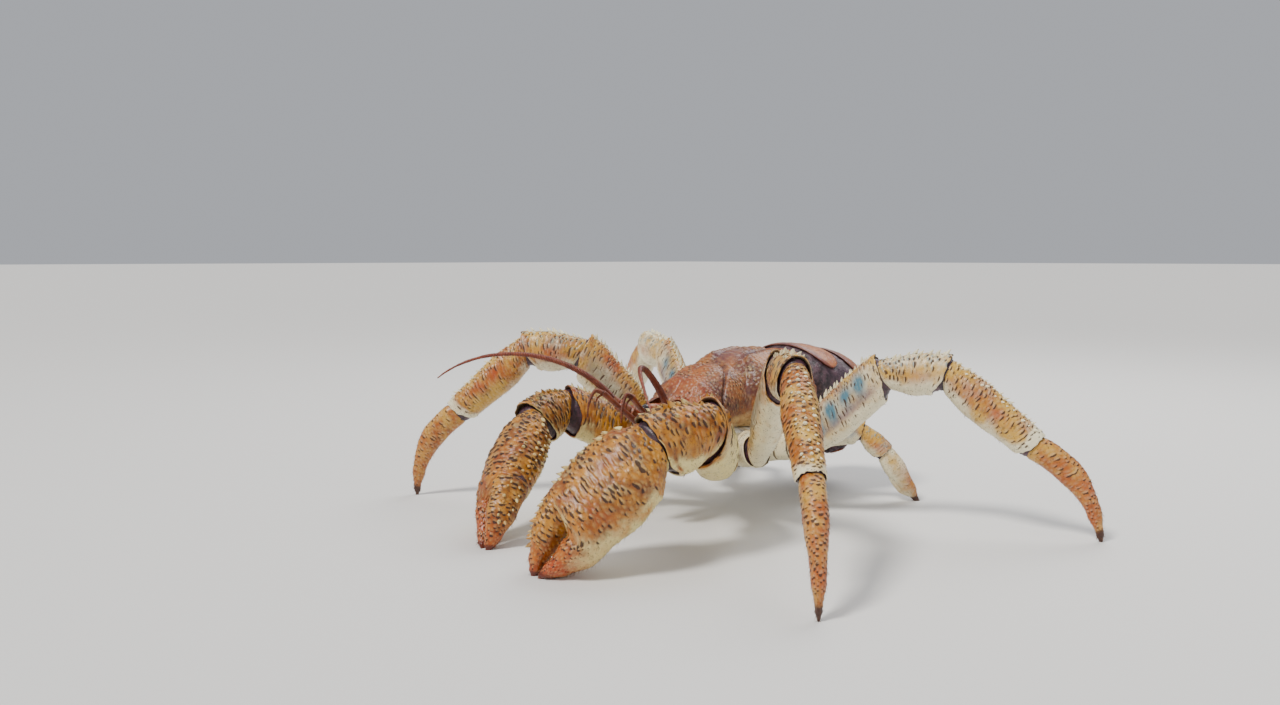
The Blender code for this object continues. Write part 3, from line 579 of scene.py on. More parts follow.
# Segment, length, azimuth, pitch, half width, half height, keel; no pitch: it reaches down to the floor
limbTables = dict(
    leg2=(
        ("base", 0.34 * leg, 57, 6, 0.015, 0.017, 0),
        ("merus", leg, 55, 48, 0.015, 0.024, 0.35),
        ("carpus", 0.54 * leg, 52, 3, 0.016, 0.021, 0.2),
        ("propodus", 0.92 * leg, 49, -41, 0.015, 0.019, 0.15),
        ("dactyl", 0.94 * leg, 46, None, 0.0105, 0.014, 0),
    ),
    leg3=(
        ("base", 0.33 * leg, 106, 3, 0.0145, 0.0165, 0),
        ("merus", 0.96 * leg, 109, 44, 0.014, 0.0225, 0.35),
        ("carpus", 0.53 * leg, 112, 3, 0.0152, 0.02, 0.2),
        ("propodus", 0.92 * leg, 115, -38, 0.0145, 0.0182, 0.15),
        ("dactyl", 0.96 * leg, 118, None, 0.0102, 0.0134, 0),
    ),
    leg4=(
        ("base", 0.22 * leg, 140, 0, 0.01, 0.0115, 0),
        ("merus", 0.5 * leg, 134, 6, 0.009, 0.013, 0.2),
        ("carpus", 0.3 * leg, 134, -42, 0.0095, 0.0118, 0.1),
        ("hand", 0.58 * leg, 136, None, 0.009, 0.0115, 0),
    ),
    claw=(
        ("base", 0.5 * claw, 56, 0, 0.0175, 0.0178, 0),
        ("merus", 1.1 * claw, 34, 27, 0.022, 0.03, 0.3),
        ("carpus", 0.66 * claw, -12, -10, 0.027, 0.03, 0.2),
        ("palm", claw, -26, -42, 0.03, 0.04, 0),
    ),
)
limbHips = dict(claw=(0, 0.5), leg2=(1, 0.26), leg3=(1, 0.76), leg4=(2, 0.62))
pincer = dict(palmRoll=50, size=(0.0205, 0.0168), out=0.0196, tipOut=0.0056, slope=-52, bow=0.004, sunk=0.012)
dactylBow = 0.13  # rise of a leg tip's arch over its length


# One segment's frame: its way from joint to joint, the crest square to it turned by the roll, and its planes
def segmentOf(kind, side, root, tip, rootPlane, tipPlane, size, bow=0.0, roll=0.0, keel=0.0, grounded=False):
    along = unit(tip - root)
    crest = unit(up - along * along[2])
    across = np.cross(along, crest)
    a = math.radians(roll)
    crest = crest * math.cos(a) + across * math.sin(a)
    return dict(
        kind=kind, side=side, root=root, length=float(np.linalg.norm(tip - root)), along=along, crest=crest,
        across=np.cross(along, crest), rootPlane=rootPlane, tipPlane=tipPlane, size=size,
        profile=shapes[kind], bow=bow, keel=keel, grounded=grounded,
    )


# Section offset: profile times half width by cosine across and half height by sine up, plus the bow's arch
def offsetOf(seg, u, a, swell=1.0):
    c, s = ovalOf(a, 0.85)
    girth = eased(u, seg["profile"]) * swell
    wide = seg["size"][0] * girth * c * (1 - seg["keel"] * clamped(s))
    inside = clamped(u)
    high = seg["size"][1] * girth * s + seg["bow"] * 4 * inside * (1 - inside)
    return wide[..., None] * seg["across"] + high[..., None] * seg["crest"]


# Point on a segment: its root, the section offset and a way from the root plane to the tip plane
def pointOn(seg, u, a, swell=1.0):
    u, a = np.broadcast_arrays(np.asarray(u, float), np.asarray(a, float))
    ends = []
    for end, (point, normal) in enumerate((seg["rootPlane"], seg["tipPlane"])):
        short = point - seg["root"] - offsetOf(seg, np.full(a.shape, float(end)), a)
        ends.append(short @ normal / (seg["along"] @ normal))
    far = ends[0] * (1 - u) + ends[1] * u
    return seg["root"] + offsetOf(seg, u, a, swell) + far[..., None] * seg["along"]


# One limb's chain from its table, as in the source. Neighbours share the plane that halves their bend
def limbChain(name, side):
    girth, stretch = 1.0, 1.0
    if name == "claw" and side < 0:
        girth, stretch = build["rightGirth"], build["rightReach"]
    start, plane = hip(side, *limbHips[name])
    ways, joints = [], [start]
    for _, length, azimuth, pitch, *_ in limbTables[name]:
        length = length * stretch
        pitch = -math.degrees(math.asin(joints[-1][2] / length)) if pitch is None else pitch
        ways.append(heading(azimuth, pitch, side))
        joints.append(joints[-1] + ways[-1] * length)
    chain = {}
    for i, (kind, length, _, pitch, halfWidth, halfHeight, keel) in enumerate(limbTables[name]):
        last = i == len(ways) - 1
        rootPlane = (joints[i], unit(ways[i - 1] + ways[i])) if i else plane
        tipPlane = (joints[i + 1], ways[i] if last else unit(ways[i] + ways[i + 1]))
        if pitch is None:
            tipPlane = (joints[i + 1], -up)
        size = (halfWidth * girth, halfHeight * girth)
        chain[kind] = segmentOf(
            kind, side, joints[i], joints[i + 1], rootPlane, tipPlane, size,
            bow=dactylBow * length if kind == "dactyl" else 0.0,
            roll=side * pincer["palmRoll"] if kind == "palm" else 0.0,
            keel=keel, grounded=pitch is None,
        )
        chain[kind]["rootBend"] = unit(ways[i] - ways[i - 1]) if i else None
        chain[kind]["tipBend"] = None if last else unit(ways[i + 1] - ways[i])
        chain[kind]["limb"] = name
    return chain, girth


# A digit of a claw from the wrist to the floor; sign +1 is the moving finger, -1 the fixed one
def digitOf(palm, side, sign, girth):
    wrist = palm["root"] + palm["along"] * palm["length"]
    slope = heading(limbTables["claw"][-1][2], pincer["slope"], side)
    touch = wrist + slope * (wrist[2] / -slope[2])
    root = wrist + palm["crest"] * sign * pincer["out"] * girth
    tip = touch + unit(palm["crest"] * (1, 1, 0)) * sign * pincer["tipOut"] * girth
    sunk = 0.0 if sign > 0 else pincer["sunk"]
    roll = math.degrees(math.atan2(palm["crest"] @ np.cross(unit(tip - root), up), palm["crest"][2]))
    size = (pincer["size"][0] * girth, pincer["size"][1] * girth)
    digit = segmentOf(
        "finger", side, root, tip, (wrist - palm["along"] * sunk, palm["along"]), (tip, -up), size,
        bow=pincer["bow"] * sign * girth, roll=roll, grounded=True,
    )
    digit["rootBend"], digit["tipBend"], digit["limb"] = unit(-sign * palm["crest"]), None, "claw"
    return digit


# How far each direction round the section faces the inside of a bend, from -1 to 1
def facing(seg, a, bend):
    if bend is None:
        return np.zeros(np.shape(a))
    flat = unit(bend - seg["along"] * (bend @ seg["along"]))
    return np.cos(a) * (flat @ seg["across"]) + np.sin(a) * (flat @ seg["crest"])


# A segment's end rows as (metres past the edge, share of girth), and how its edges are finished
endShapes = dict(
    neck=((-0.0075, 0.66), (-0.0055, 0.7), (-0.0035, 0.76), (-0.0018, 0.83), (-0.0006, 0.9)),
    stump=((-0.005, 0.9), (-0.0024, 0.93), (-0.0008, 0.93)),
    lip=((0.0005, 1.0), (0.0011, 0.975), (0.0013, 0.94), (0.0008, 0.905), (-0.0015, 0.885), (-0.006, 0.86)),
    rootGap=0.0004, tipGap=0.001, waves=((0.0009, 4, 90), (0.0006, 9, 50)), inside=(0.1, 0.95),
    collar=(0.0075, 0.002), fade=0.006, tipFade=0.75, rootPinch=(0.06, 0.0035), floorFade=(0.93, 1.0),
    # The lip turned back inside the joint is painted dark: painted shade inside the joint
    lipShade=0.7,
)


# One end's rows beyond an edge ring: its u plus each step, its girth times each share, and no relief
def endRows(name, edge, girth, length):
    step, share = np.array(endShapes[name]).T[..., None]
    return edge + step / length, girth * share, 0 * edge + 0 * step


# How far an end draws back: its notch, in full where it faces the inside of the bend
def cutBack(seg, a, end, notch):
    return notch * ease(*endShapes["inside"], facing(seg, a, seg[end]))


# Rows along a segment: a neck sunk in the joint before, the shell, a collar and a lip turned back inside.
# Both ends draw back inside the bend. Gives u, girth share and a fade for the relief
def segmentRows(seg, rows, a, notch, neck, collar):
    length = seg["length"]
    grounded = seg["grounded"]
    rootCut = cutBack(seg, a, "rootBend", notch[0]) / length
    tipCut = cutBack(seg, a, "tipBend", notch[1]) / length
    if not grounded:
        waves = sum(size * np.sin(number * a + length * start) for size, number, start in endShapes["waves"])
        tipCut = tipCut + np.abs(waves) / length
    r = np.linspace(0, 1, rows)[:, None]
    lowEdge = rootCut + endShapes["rootGap"] / length
    highEdge = 1 - tipCut - (0.0 if grounded else endShapes["tipGap"] / length)
    u = lowEdge + (highEdge - lowEdge) * r
    collarFrom, collarTo = (1 - reach / length for reach in endShapes["collar"])
    swell = 1 + collar * ease(collarFrom, collarTo, r) + 0 * u
    pinch, pinchLength = endShapes["rootPinch"]
    swell = swell * (1 - pinch * (1 - ease(0, pinchLength / length, r)))
    short = endShapes["fade"] / length
    fade = ease(0, short, r) * (1.0 if grounded else 1 - endShapes["tipFade"] * ease(1 - short, 1, r)) + 0 * u
    blocks = [endRows("neck" if neck else "stump", u[:1], 1.0, length), (u, swell, fade)]
    if not grounded:
        blocks.append(endRows("lip", u[-1:], swell[-1:], length))
    return tuple(np.concatenate([part + 0 * u[:1] for part in parts]) for parts in zip(*blocks))


# Rugae, low scale-like ridges: a gentle rise and a drop at the bowed far edge, set with bristles, dark both
# as the
# # shell's own margin and as painted shade in the step
def rugae(x, y, wrap, seed):
    dx, dy, share = scaleField(x, y, wrap, seed)
    q = dx + 0.5 * dy * dy
    flank = bell(dy, 0.3 + 0.2 * share)
    tall = ease(-0.65, 0.02, q) * (1 - ease(0.05, 0.3, q)) * flank * (0.4 + 0.6 * share)
    drop = bell(q - 0.26, 0.11 + 0.09 * share) * flank * (0.5 + 0.5 * share)
    return tall, drop, share


# Limb relief: how far noise pushes the cells and its size, size and depth of slow swelling and of grain, and
# the drop's share
relief = dict(warp=(1.1, 0.011), slow=(0.016, 0.0012), grain=(0.0022, 0.00022), drop=0.25)


# Rugae over a limb, in cells of the look's size pushed about by noise, and what a painter goes by
def shellRelief(seg, look, p, u, a, way, seed):
    wrap = max(6, round(turn * (seg["size"][0] + seg["size"][1]) / 2 / look["cell"][1]))
    amount, size = relief["warp"]
    warp = [amount * uneven(p, size, seed + number) for number in (11, 12)]
    tall, drop, share = rugae(way / look["cell"][0] + warp[0], a / turn * wrap + warp[1], wrap, seed)
    slow = uneven(p, look.get("slow", relief["slow"])[0], seed)
    return dict(
        u=u, fore=np.cos(a) * seg["side"], rise=np.sin(a), n=gridNormals(p), tall=tall, drop=drop,
        share=share, slow=slow, grain=uneven(p, relief["grain"][0], seed + 5),
    )


# Height above the plain surface: rugae as rough as the painter says, slow swelling and fine grain
def heightOf(at, look, rough):
    scales = rough * look["height"] * (at["tall"] - relief["drop"] * at["drop"])
    return scales + look.get("slow", relief["slow"])[1] * at["slow"] + relief["grain"][1] * at["grain"]


# A limb pushed along its normals by its height and kept above the floor, with the grid for bristles
def finishedShell(seg, p, at, height, marks, drop, u, a):
    p = pushed(p, at["n"], height)
    p[..., 2] = np.maximum(p[..., 2], 0.0)
    seg["grid"] = dict(p=p, n=at["n"], drop=drop, u=u, a=a)
    return tubePart(p, **marks)


# A segment's finished surface: the sheared tube pushed by its relief, with the painter's marks
def shellSegment(seg, look, paint, seed):
    rows, around = look["grid"]
    a = columns(around)
    u, swell, fade = segmentRows(seg, rows, a, look["notch"], look.get("neck", True), look["collar"])
    u, a = np.broadcast_arrays(u, a)
    p = pointOn(seg, u, a, swell)
    at = shellRelief(seg, look, p, u, a, u * seg["length"], seed)
    marks, rough = paint(seg, at)
    height = heightOf(at, look, rough) + marks.pop("carve")
    if seg["grounded"]:
        height = height * (1 - ease(*endShapes["floorFade"], u))
    # The lip rows, turned back inside the joint, are darkened as painted shade
    lipFrom = len(u) if seg["grounded"] else len(u) - len(endShapes["lip"]) + 2
    inLip = np.arange(len(u))[:, None] >= lipFrom
    marks["spot"] = clamped(marks["spot"] + endShapes["lipShade"] * inLip)
    return finishedShell(seg, p, at, height * fade, marks, at["drop"] * fade, u, a)


# Joint skins: share of each shell's girth, folds and bulge inside the bend. The finger's sleeve: its start,
# length, girth and gain along it, and folds
jointSkin = dict(rows=28, around=60, girths=(0.9, 0.86), blend=0.7, fold=0.02, folds=17, bulge=0.05)
sleeve = dict(rows=16, around=60, start=-0.0035, length=0.0048, girth=0.84, gain=0.11, fold=0.008, folds=14)


# A joint's dark soft skin: one segment's end eased through the joint plane into the next one's start, with
# sine folds that fade at both ends
def membranePart(before, after, reach, seed=3):
    a = columns(jointSkin["around"])
    turned = math.atan2(before["across"] @ after["crest"], before["across"] @ after["across"])
    t = np.linspace(-1, 1, jointSkin["rows"])[:, None]
    share = ease(-jointSkin["blend"], jointSkin["blend"], t)
    middle = 1 - t * t
    folds = jointSkin["fold"] * np.sin(jointSkin["folds"] * t + 2.0 * np.sin(2 * a + seed)) * middle
    inner = clamped(facing(before, a, unit(after["along"] - before["along"])))
    bulge = 1 + folds + jointSkin["bulge"] * middle * inner
    first = pointOn(before, 1 + t * reach[0] / before["length"], a, jointSkin["girths"][0] * bulge)
    second = pointOn(after, t * reach[1] / after["length"], a + turned, jointSkin["girths"][1] * bulge)
    return tubePart(first * (1 - share[..., None]) + second * share[..., None])


# The soft collar of the moving finger: a short folded sleeve round its root, sunk in the palm
def fingerHinge(finger, girth):
    a = columns(sleeve["around"])
    t = np.linspace(0, 1, sleeve["rows"])[:, None]
    way = (sleeve["start"] + sleeve["length"] * t) * girth / finger["length"]
    folds = sleeve["fold"] * np.sin(sleeve["folds"] * t + 2 * np.sin(a))
    return tubePart(pointOn(finger, way, a, sleeve["girth"] + sleeve["gain"] * t + folds))


# Points on a segment at u and a tilt in degrees from its crest, and the oval's outward direction there
def skinAt(seg, u, tilt):
    a = np.radians(90 - tilt)
    halfWidth, halfHeight = seg["size"]
    outward = np.cos(a)[:, None] * seg["across"] * halfHeight + np.sin(a)[:, None] * seg["crest"] * halfWidth
    return pointOn(seg, u, a), unit(outward)


# Spines: stray along and across their row, range of sizes, lean along the limb and its scatter
spineForm = dict(
    stray=0.35, strayTilt=6, sizes=(0.65, 1.3), lean=0.35, loose=0.08, rings=6, sides=9, blunt=0.1,
)


# Spines in rows, each a little unlike the next: their way is outwards plus a share of the limb's
def spineRows(seg, rows, girth, seed, **marks):
    draw = np.random.default_rng(seed)
    form = [spineForm[key] for key in ("rings", "sides", "blunt")]
    stray, strayTilt = spineForm["stray"], spineForm["strayTilt"]
    parts = []
    for tilt, start, end, count, height, radius in rows:
        u = np.linspace(start, end, count) + draw.uniform(-stray, stray, count) * (end - start) / count
        root, outward = skinAt(seg, u, tilt + draw.uniform(-strayTilt, strayTilt, count))
        size = girth * draw.uniform(*spineForm["sizes"], count)
        lean = spineForm["lean"] * seg["along"] + 0 * root
        direction = unit(outward + lean + draw.normal(0, spineForm["loose"], (count, 3)))
        parts.append(spikePart(root, direction, lean, height * size, radius * size, *form, **marks))
    return parts


# Bristles: the drop from which they stand, share outwards, random lean, range of heights and root's radius
limbCoat = dict(lowest=0.32, outwards=0.75, loose=0.225, heights=(0.55, 1.35), radius=0.00011)
backCoat = dict(
    lowest=0.3, outwards=0.7, loose=0.25, heights=(0.5, 1.4), radius=0.0001, carapace=(1500, 0.0018),
    plate=(150, 0.0016),
)


# Bristles at the drops of a surface: their way is a share outwards, a lean and a random part
def bristlesOn(grid, coat, count, height, lean, bent, seed):
    draw = np.random.default_rng(seed)
    rows, around = np.nonzero(grid["drop"] > coat["lowest"])
    picks = draw.integers(0, len(rows), count)
    i, j = rows[picks], around[picks]
    root, outward = grid["p"][i, j], grid["n"][i, j]
    way = outward * coat["outwards"] + lean + draw.normal(0, coat["loose"], (count, 3))
    high = height * draw.uniform(*coat["heights"], count)
    uv = np.stack((clamped(grid["u"][i, j]), grid["a"][i, j] / turn), 1)
    return spikePart(root, way, bent + 0 * root, high, coat["radius"] + 0 * high, 3, 3, 0.25), uv


# A limb's bristles lean along it
def limbBristles(seg, count, height, seed):
    return bristlesOn(seg["grid"], limbCoat, count, height, 0.75 * seg["along"], 0.3 * seg["along"], seed)


# The seams round a limb's root, between its first three short joints, and the one at the hip
def baseRings(u):
    return bell(u - 0.34, 0.022) + bell(u - 0.64, 0.022) + 1.2 * bell(u, 0.035)


# Tones and patches. A pair or four after a name is a band for a smooth step
clawTones = dict(
    under=(0.1, -0.6), underSmooth=0.55, fingerSmooth=0.55, inner=(-0.1, -0.8), dashes=(0.12, 0.62),
    dash=1.7, clusters=0.55, worn=0.65, seamDepth=0.0013, seamDark=0.7,
)
legTones = dict(
    under=(0.1, -0.65), underSmooth=0.6, innerSmooth=0.9, dashes=(0.18, 0.7), dash=1.6, worn=0.5,
    carve=0.0012, seamDark=0.7, ends=(0.98, 0.8),
)
# Pale tones by kind: of the second and fourth legs, of the third, and what the underside and slow noise add
legPale = dict(
    base=(0.72, 0.72, 0.3, 0.0), merus=(0.36, 0.54, 0.4, 0.3), carpus=(0.32, 0.54, 0.35, 0.3),
    propodus=(0.08, 0.36, 0.35, 0.3), dactyl=(0.04, 0.04, 0.25, 0.0), hand=(0.62, 0.62, 0.3, 0.5),
)
# Warm patches: strength on the second and third legs, centre and width along and up the side, band in front
legPatches = dict(
    merus=(0.95, 0.0, (0.72, 0.17), (0.75, 0.3), (-0.4, 0.3)),
    carpus=(0.75, 0.45, (0.55, 0.34), (-0.05, 0.32), (0.1, 0.7)),
    propodus=(0.9, 0.72, (0.46, 0.28), (0.15, 0.42), (-0.3, 0.6)),
)
# Bands along a merus: centre and width up the side, and bands in front and at the root
merusBands = dict(
    inner=((0.02, 0.42), (0.25, 0.9), (0.05, 0.25)), stripe=((-0.2, 0.18), (0.2, 0.7), (0.1, 0.3)),
)
blots = dict(centres=(0.24, 0.42, 0.6, 0.77), rise=0.27, wave=0.08, turns=7, stretch=(4.9, 0.8), size=0.32)


# A patch: a bell along times a bell up the side, on the front
def patchOf(at, along, high, front):
    return bell(at["u"] - along[0], along[1]) * bell(at["rise"] - high[0], high[1]) * ease(*front, at["fore"])


# A band along a merus: a bell up the side, on the front, faded out at both ends
def bandOf(at, high, front, root):
    ends = ease(*root, at["u"]) * ease(*legTones["ends"], at["u"])
    return ease(*front, at["fore"]) * bell(at["rise"] - high[0], high[1]) * ends


# The third leg's row of blots, each an oval bell, at heights that follow a sine
def blotsOf(at):
    total = 0.0
    for centre in blots["centres"]:
        lift = at["rise"] - blots["rise"] + blots["wave"] * math.sin(blots["turns"] * centre)
        off = np.hypot((at["u"] - centre) * blots["stretch"][0], lift * blots["stretch"][1])
        total = total + bell(off, blots["size"])
    return total


# Painters. Each returns one kind's marks, a depth to carve and how strongly its rugae stand out. Under sides
# are paler and smoother, and a dark dash lies at the far edge of the scales that the share picks out: the
# scale's own dark margin together with painted shade in the step
def clawPaint(seg, at):
    u, rise, slow, kind = at["u"], at["rise"], at["slow"], seg["kind"]
    under = ease(*clawTones["under"], at["n"][..., 2])
    rough = 1 - clawTones["underSmooth"] * under
    if kind == "merus":
        inner = ease(*clawTones["inner"], at["fore"])
        pale = (0.26 + 0.6 * np.maximum(under, inner)) * (1 - 0.5 * ease(0.78, 0.98, u))
        warm = 0.3 * ease(0.55, 1.0, u) * (1 - under)
    elif kind == "finger":
        pale = 0.1 + 0.25 * under
        warm = ease(0.42, 0.95, u)
        rough = rough * (1 - clawTones["fingerSmooth"] * ease(0.45, 0.8, u))
    else:
        pale = 0.14 + 0.52 * under + 0.24 * ease(-0.1, 0.35, slow)
        warm = 0.3 * ease(0.04, 0.2, -slow)
        if kind == "palm":
            warm = warm + 0.2 * ease(0.7, 1.1, u)
    rings = baseRings(u) if kind == "base" else 0.0
    # Dark dashes at the scales' drops: the shell's own dark margins together with painted shade in the step
    chosen = ease(*clawTones["dashes"], at["share"] + 0.9 * slow + 0.22 * rise)
    dashes = clamped(clawTones["dash"] * at["drop"] * chosen) * (1 - 0.8 * under)
    clusters = clawTones["clusters"] * ease(0.05, 0.24, slow + 0.1 * rise) * at["tall"] * (1 - under)
    return dict(
        spot=clamped(dashes + clusters + clawTones["seamDark"] * rings), pale=clamped(pale), warm=warm,
        worn=clawTones["worn"] * at["tall"], tip=ease(0.84, 1.0, u) if kind == "finger" else 0.0,
        carve=-clawTones["seamDepth"] * rings,
    ), rough


# The same for legs. The third leg's merus has blots beside a stripe, the second's a cool inner field
def legPaint(seg, at):
    u, rise, fore, slow, kind = at["u"], at["rise"], at["fore"], at["slow"], seg["kind"]
    third = seg["limb"] == "leg3"
    under = ease(*legTones["under"], at["n"][..., 2])
    rough = 1 - legTones["underSmooth"] * under
    cool, warm, carve = 0.0, 0.0, 0.0
    tones = legPale[kind]
    pale = tones[third] + tones[2] * under * (ease(0.6, 0.1, u) if kind == "dactyl" else 1) + tones[3] * slow
    if kind in legPatches:
        warm = legPatches[kind][third] * patchOf(at, *legPatches[kind][2:])
    if kind == "merus":
        pale = pale - 0.18 * ease(0.45, 1.0, rise)
        inner = bandOf(at, *merusBands["inner"])
        cool = 0.62 * inner
        if third:
            stripe = bandOf(at, *merusBands["stripe"])
            patches = 1.55 * blotsOf(at) * ease(0.0, 0.5, fore) * (0.8 + slow)
            cool = np.clip(patches + 0.38 * stripe, 0, 0.95)
            warm = 0.75 * stripe
        carve = -legTones["carve"] * inner
        rough = rough * (1 - legTones["innerSmooth"] * inner)
    elif kind == "carpus":
        cool = 0.75 * ease(0.25, 0.7, at["tall"]) * ease(0.0, 0.5, rise) * ease(0.25, 0.5, at["share"])
    elif kind == "propodus":
        pale = pale + 0.55 * ease(0.84, 0.96, u)
        warm = warm * (0.62 + 0.75 * ease(-0.12, 0.12, slow))
    elif kind == "dactyl":
        warm = 0.2 + 0.4 * ease(0.05, 0.6, u) * (1 + slow)
    elif kind == "hand":
        pale = pale - 0.35 * ease(0.25, 0.75, u)
        warm = 0.55 * bell(u - 0.55, 0.25) * ease(-0.3, 0.5, rise)
    # Dark dashes at the scales' drops: the shell's own dark margins together with painted shade in the step
    chosen = ease(*legTones["dashes"], at["share"] + 0.8 * slow + 0.3 * ease(0.4, 1.0, rise))
    dashes = clamped(legTones["dash"] * at["drop"] * chosen) * (1 - 0.75 * under)
    if kind in ("base", "hand") or seg["limb"] == "leg4":
        dashes = dashes * 0.5
    if kind == "base":
        dashes = dashes + legTones["seamDark"] * baseRings(u)
        carve = -legTones["carve"] * baseRings(u)
    return dict(
        spot=clamped(dashes), pale=clamped(pale), warm=warm, cool=cool,
        worn=legTones["worn"] * at["tall"], tip=ease(0.8, 0.97, u) if kind in ("dactyl", "hand") else 0.0,
        carve=carve,
    ), rough


# Per kind of segment: grid, size and height of a scale, how far root and tip draw back inside a bend, and the
# swelling at the tip
clawLooks = dict(
    base=dict(grid=(96, 84), cell=(0.0046, 0.0062), height=0.0006, notch=(0.0, 0.0), collar=0.05, neck=False),
    merus=dict(grid=(150, 128), cell=(0.005, 0.007), height=0.001, notch=(0.0, 0.011), collar=0.06),
    carpus=dict(grid=(120, 136), cell=(0.005, 0.0068), height=0.0014, notch=(0.004, 0.012), collar=0.06),
    palm=dict(
        grid=(216, 176), cell=(0.005, 0.0066), height=0.0015, notch=(0.005, 0.0), slow=(0.018, 0.0016),
        blend=(0.0005, 0.016), furthest=1.2, rootFade=0.007,
    ),
    finger=dict(grid=(150, 92), cell=(0.0046, 0.006), height=0.0011, notch=(0.0, 0.0), collar=0.0),
)
legLooks = dict(
    base=dict(grid=(84, 64), cell=(0.0042, 0.0056), height=0.0005, notch=(0.0, 0.0), collar=0.04, neck=False),
    merus=dict(grid=(160, 96), cell=(0.0044, 0.0058), height=0.0008, notch=(0.0, 0.006), collar=0.05),
    carpus=dict(grid=(92, 92), cell=(0.0042, 0.0056), height=0.001, notch=(0.003, 0.007), collar=0.06),
    propodus=dict(grid=(140, 88), cell=(0.0042, 0.0056), height=0.001, notch=(0.004, 0.005), collar=0.05),
    dactyl=dict(grid=(150, 64), cell=(0.0046, 0.0048), height=0.0007, notch=(0.003, 0.0), collar=0.0),
    hand=dict(grid=(90, 56), cell=(0.004, 0.005), height=0.0005, notch=(0.002, 0.0), collar=0.0),
)
smallLook = dict(grid=(56, 52), cell=(0.0036, 0.0046), height=0.0005, notch=(0.0015, 0.003), collar=0.05)
# Spines: tilt from the crest, start, end, count, height, radius
legSpines = dict(
    merus=(
        (0, 0.1, 0.95, 19, 0.0042, 0.0021), (9, 0.2, 0.95, 12, 0.0026, 0.0015),
        (-9, 0.2, 0.95, 12, 0.0026, 0.0015),
    ),
    carpus=(
        (4, 0.12, 0.9, 9, 0.0046, 0.0024), (28, 0.2, 0.9, 7, 0.003, 0.0018),
        (-22, 0.2, 0.9, 7, 0.003, 0.0018),
    ),
    propodus=(
        (6, 0.08, 0.92, 15, 0.0034, 0.0018), (34, 0.1, 0.9, 12, 0.0022, 0.0014),
        (-26, 0.1, 0.9, 12, 0.0022, 0.0014),
    ),
)
clawSpines = dict(
    merus=((0, 0.24, 0.94, 11, 0.0052, 0.0028), (14, 0.4, 0.92, 8, 0.003, 0.002)),
    carpus=(
        (-6, 0.16, 0.88, 8, 0.006, 0.0032), (34, 0.2, 0.86, 7, 0.0044, 0.0027),
        (14, 0.25, 0.9, 7, 0.0034, 0.0023), (-34, 0.25, 0.9, 6, 0.0034, 0.0022),
    ),
    palm=(
        (-4, 0.1, 0.92, 10, 0.0056, 0.0031), (-38, 0.18, 0.86, 8, 0.0042, 0.0027),
        (-20, 0.2, 0.9, 8, 0.0034, 0.0023), (18, 0.2, 0.9, 7, 0.0034, 0.0023),
    ),
    finger=((-30, 0.12, 0.62, 6, 0.0036, 0.0024), (4, 0.1, 0.66, 7, 0.0034, 0.0024)),
)
# Number of bristles by kind of segment, and heights
clawBristles = dict(base=120, merus=420, carpus=520, palm=1100)
legBristles = dict(base=60, merus=330, carpus=240, propodus=420, dactyl=420, hand=160)
fingerBristles = 320
bristleHeights = dict(claw=0.0026, finger=0.0024, leg=0.0022, small=0.0017)
# Joint skins' reach into the segments before and after
skinReach = dict(base=(0.008, 0.009), merus=(0.018, 0.01), carpus=(0.02, 0.011), leg=(0.011, 0.008))
skinReach["small"] = (0.005, 0.004)
molars = dict(
    count=9, span=(0.12, 0.8), stray=0.015, strayTilt=7, sizes=(0.85, 1.15), first=1.15, taper=0.75,
    sunk=0.0006, height=0.0034, radius=0.0042,
)
sideNames = {1: "left", -1: "right"}
coats = dict(claw=[], leg=[], mouth=[], back=[])


# One palm with its fixed finger: past the wrist the palm's rings blend into the finger's, so the hand tapers
def palmShell(palm, thumb, look, seed):
    rows, around = look["grid"]
    a = columns(around)
    length = palm["length"]
    wrist = length - pincer["sunk"]
    fingerLength = thumb["length"] + pincer["sunk"]
    total = wrist + fingerLength
    way = np.linspace(0, 1, rows)[:, None] * total
    cut = cutBack(palm, a, "rootBend", look["notch"][0])
    way = np.maximum(way, cut + endShapes["rootGap"]) + 0 * a
    neck, neckGirth, _ = endRows("neck", cut, 1.0, 1.0)
    swell = np.concatenate((neckGirth + 0 * cut, np.ones_like(way)))
    way = np.concatenate((neck, way))
    a = np.broadcast_to(a, way.shape)
    share = ease(*(length + past for past in look["blend"]), way)
    hand = pointOn(palm, np.minimum(way / length, look["furthest"]), a, swell)
    digit = pointOn(thumb, (way - wrist) / fingerLength, a)
    p = hand * (1 - share[..., None]) + digit * share[..., None]
    fingerShare = clamped((way - wrist) / fingerLength)
    at = shellRelief(palm, look, p, way / length, a, way, seed)
    marks, rough = clawPaint(palm, at)
    marks.pop("carve")
    marks["warm"] = clamped(marks["warm"] + ease(0.3, 0.9, fingerShare))
    marks["tip"] = ease(0.78, 0.99, fingerShare)
    rough = rough * (1 - 0.65 * ease(0.35, 0.8, fingerShare))
    height = heightOf(at, look, rough)
    height = height * ease(0, look["rootFade"], way - cut) * (1 - ease(*endShapes["floorFade"], fingerShare))
    return finishedShell(palm, p, at, height, marks, at["drop"] * (way > 0.003), way / total, a)


# The grinding teeth along a digit's inner edge: blunt, pale, worn knobs, largest near the root
def molarsOn(digit, tilt, girth, seed):
    draw = np.random.default_rng(seed)
    count, stray, strayTilt = (molars[key] for key in ("count", "stray", "strayTilt"))
    u = np.linspace(*molars["span"], count) + draw.uniform(-stray, stray, count)
    root, outward = skinAt(digit, u, tilt + draw.uniform(-strayTilt, strayTilt, count))
    size = girth * (molars["first"] - molars["taper"] * u) * draw.uniform(*molars["sizes"], count)
    root = root - outward * molars["sunk"]
    height, radius = molars["height"] * size, molars["radius"] * size
    return spikePart(root, outward, 0 * root, height, radius, 7, 12, 0.42, pale=0.9, tip=0.0)


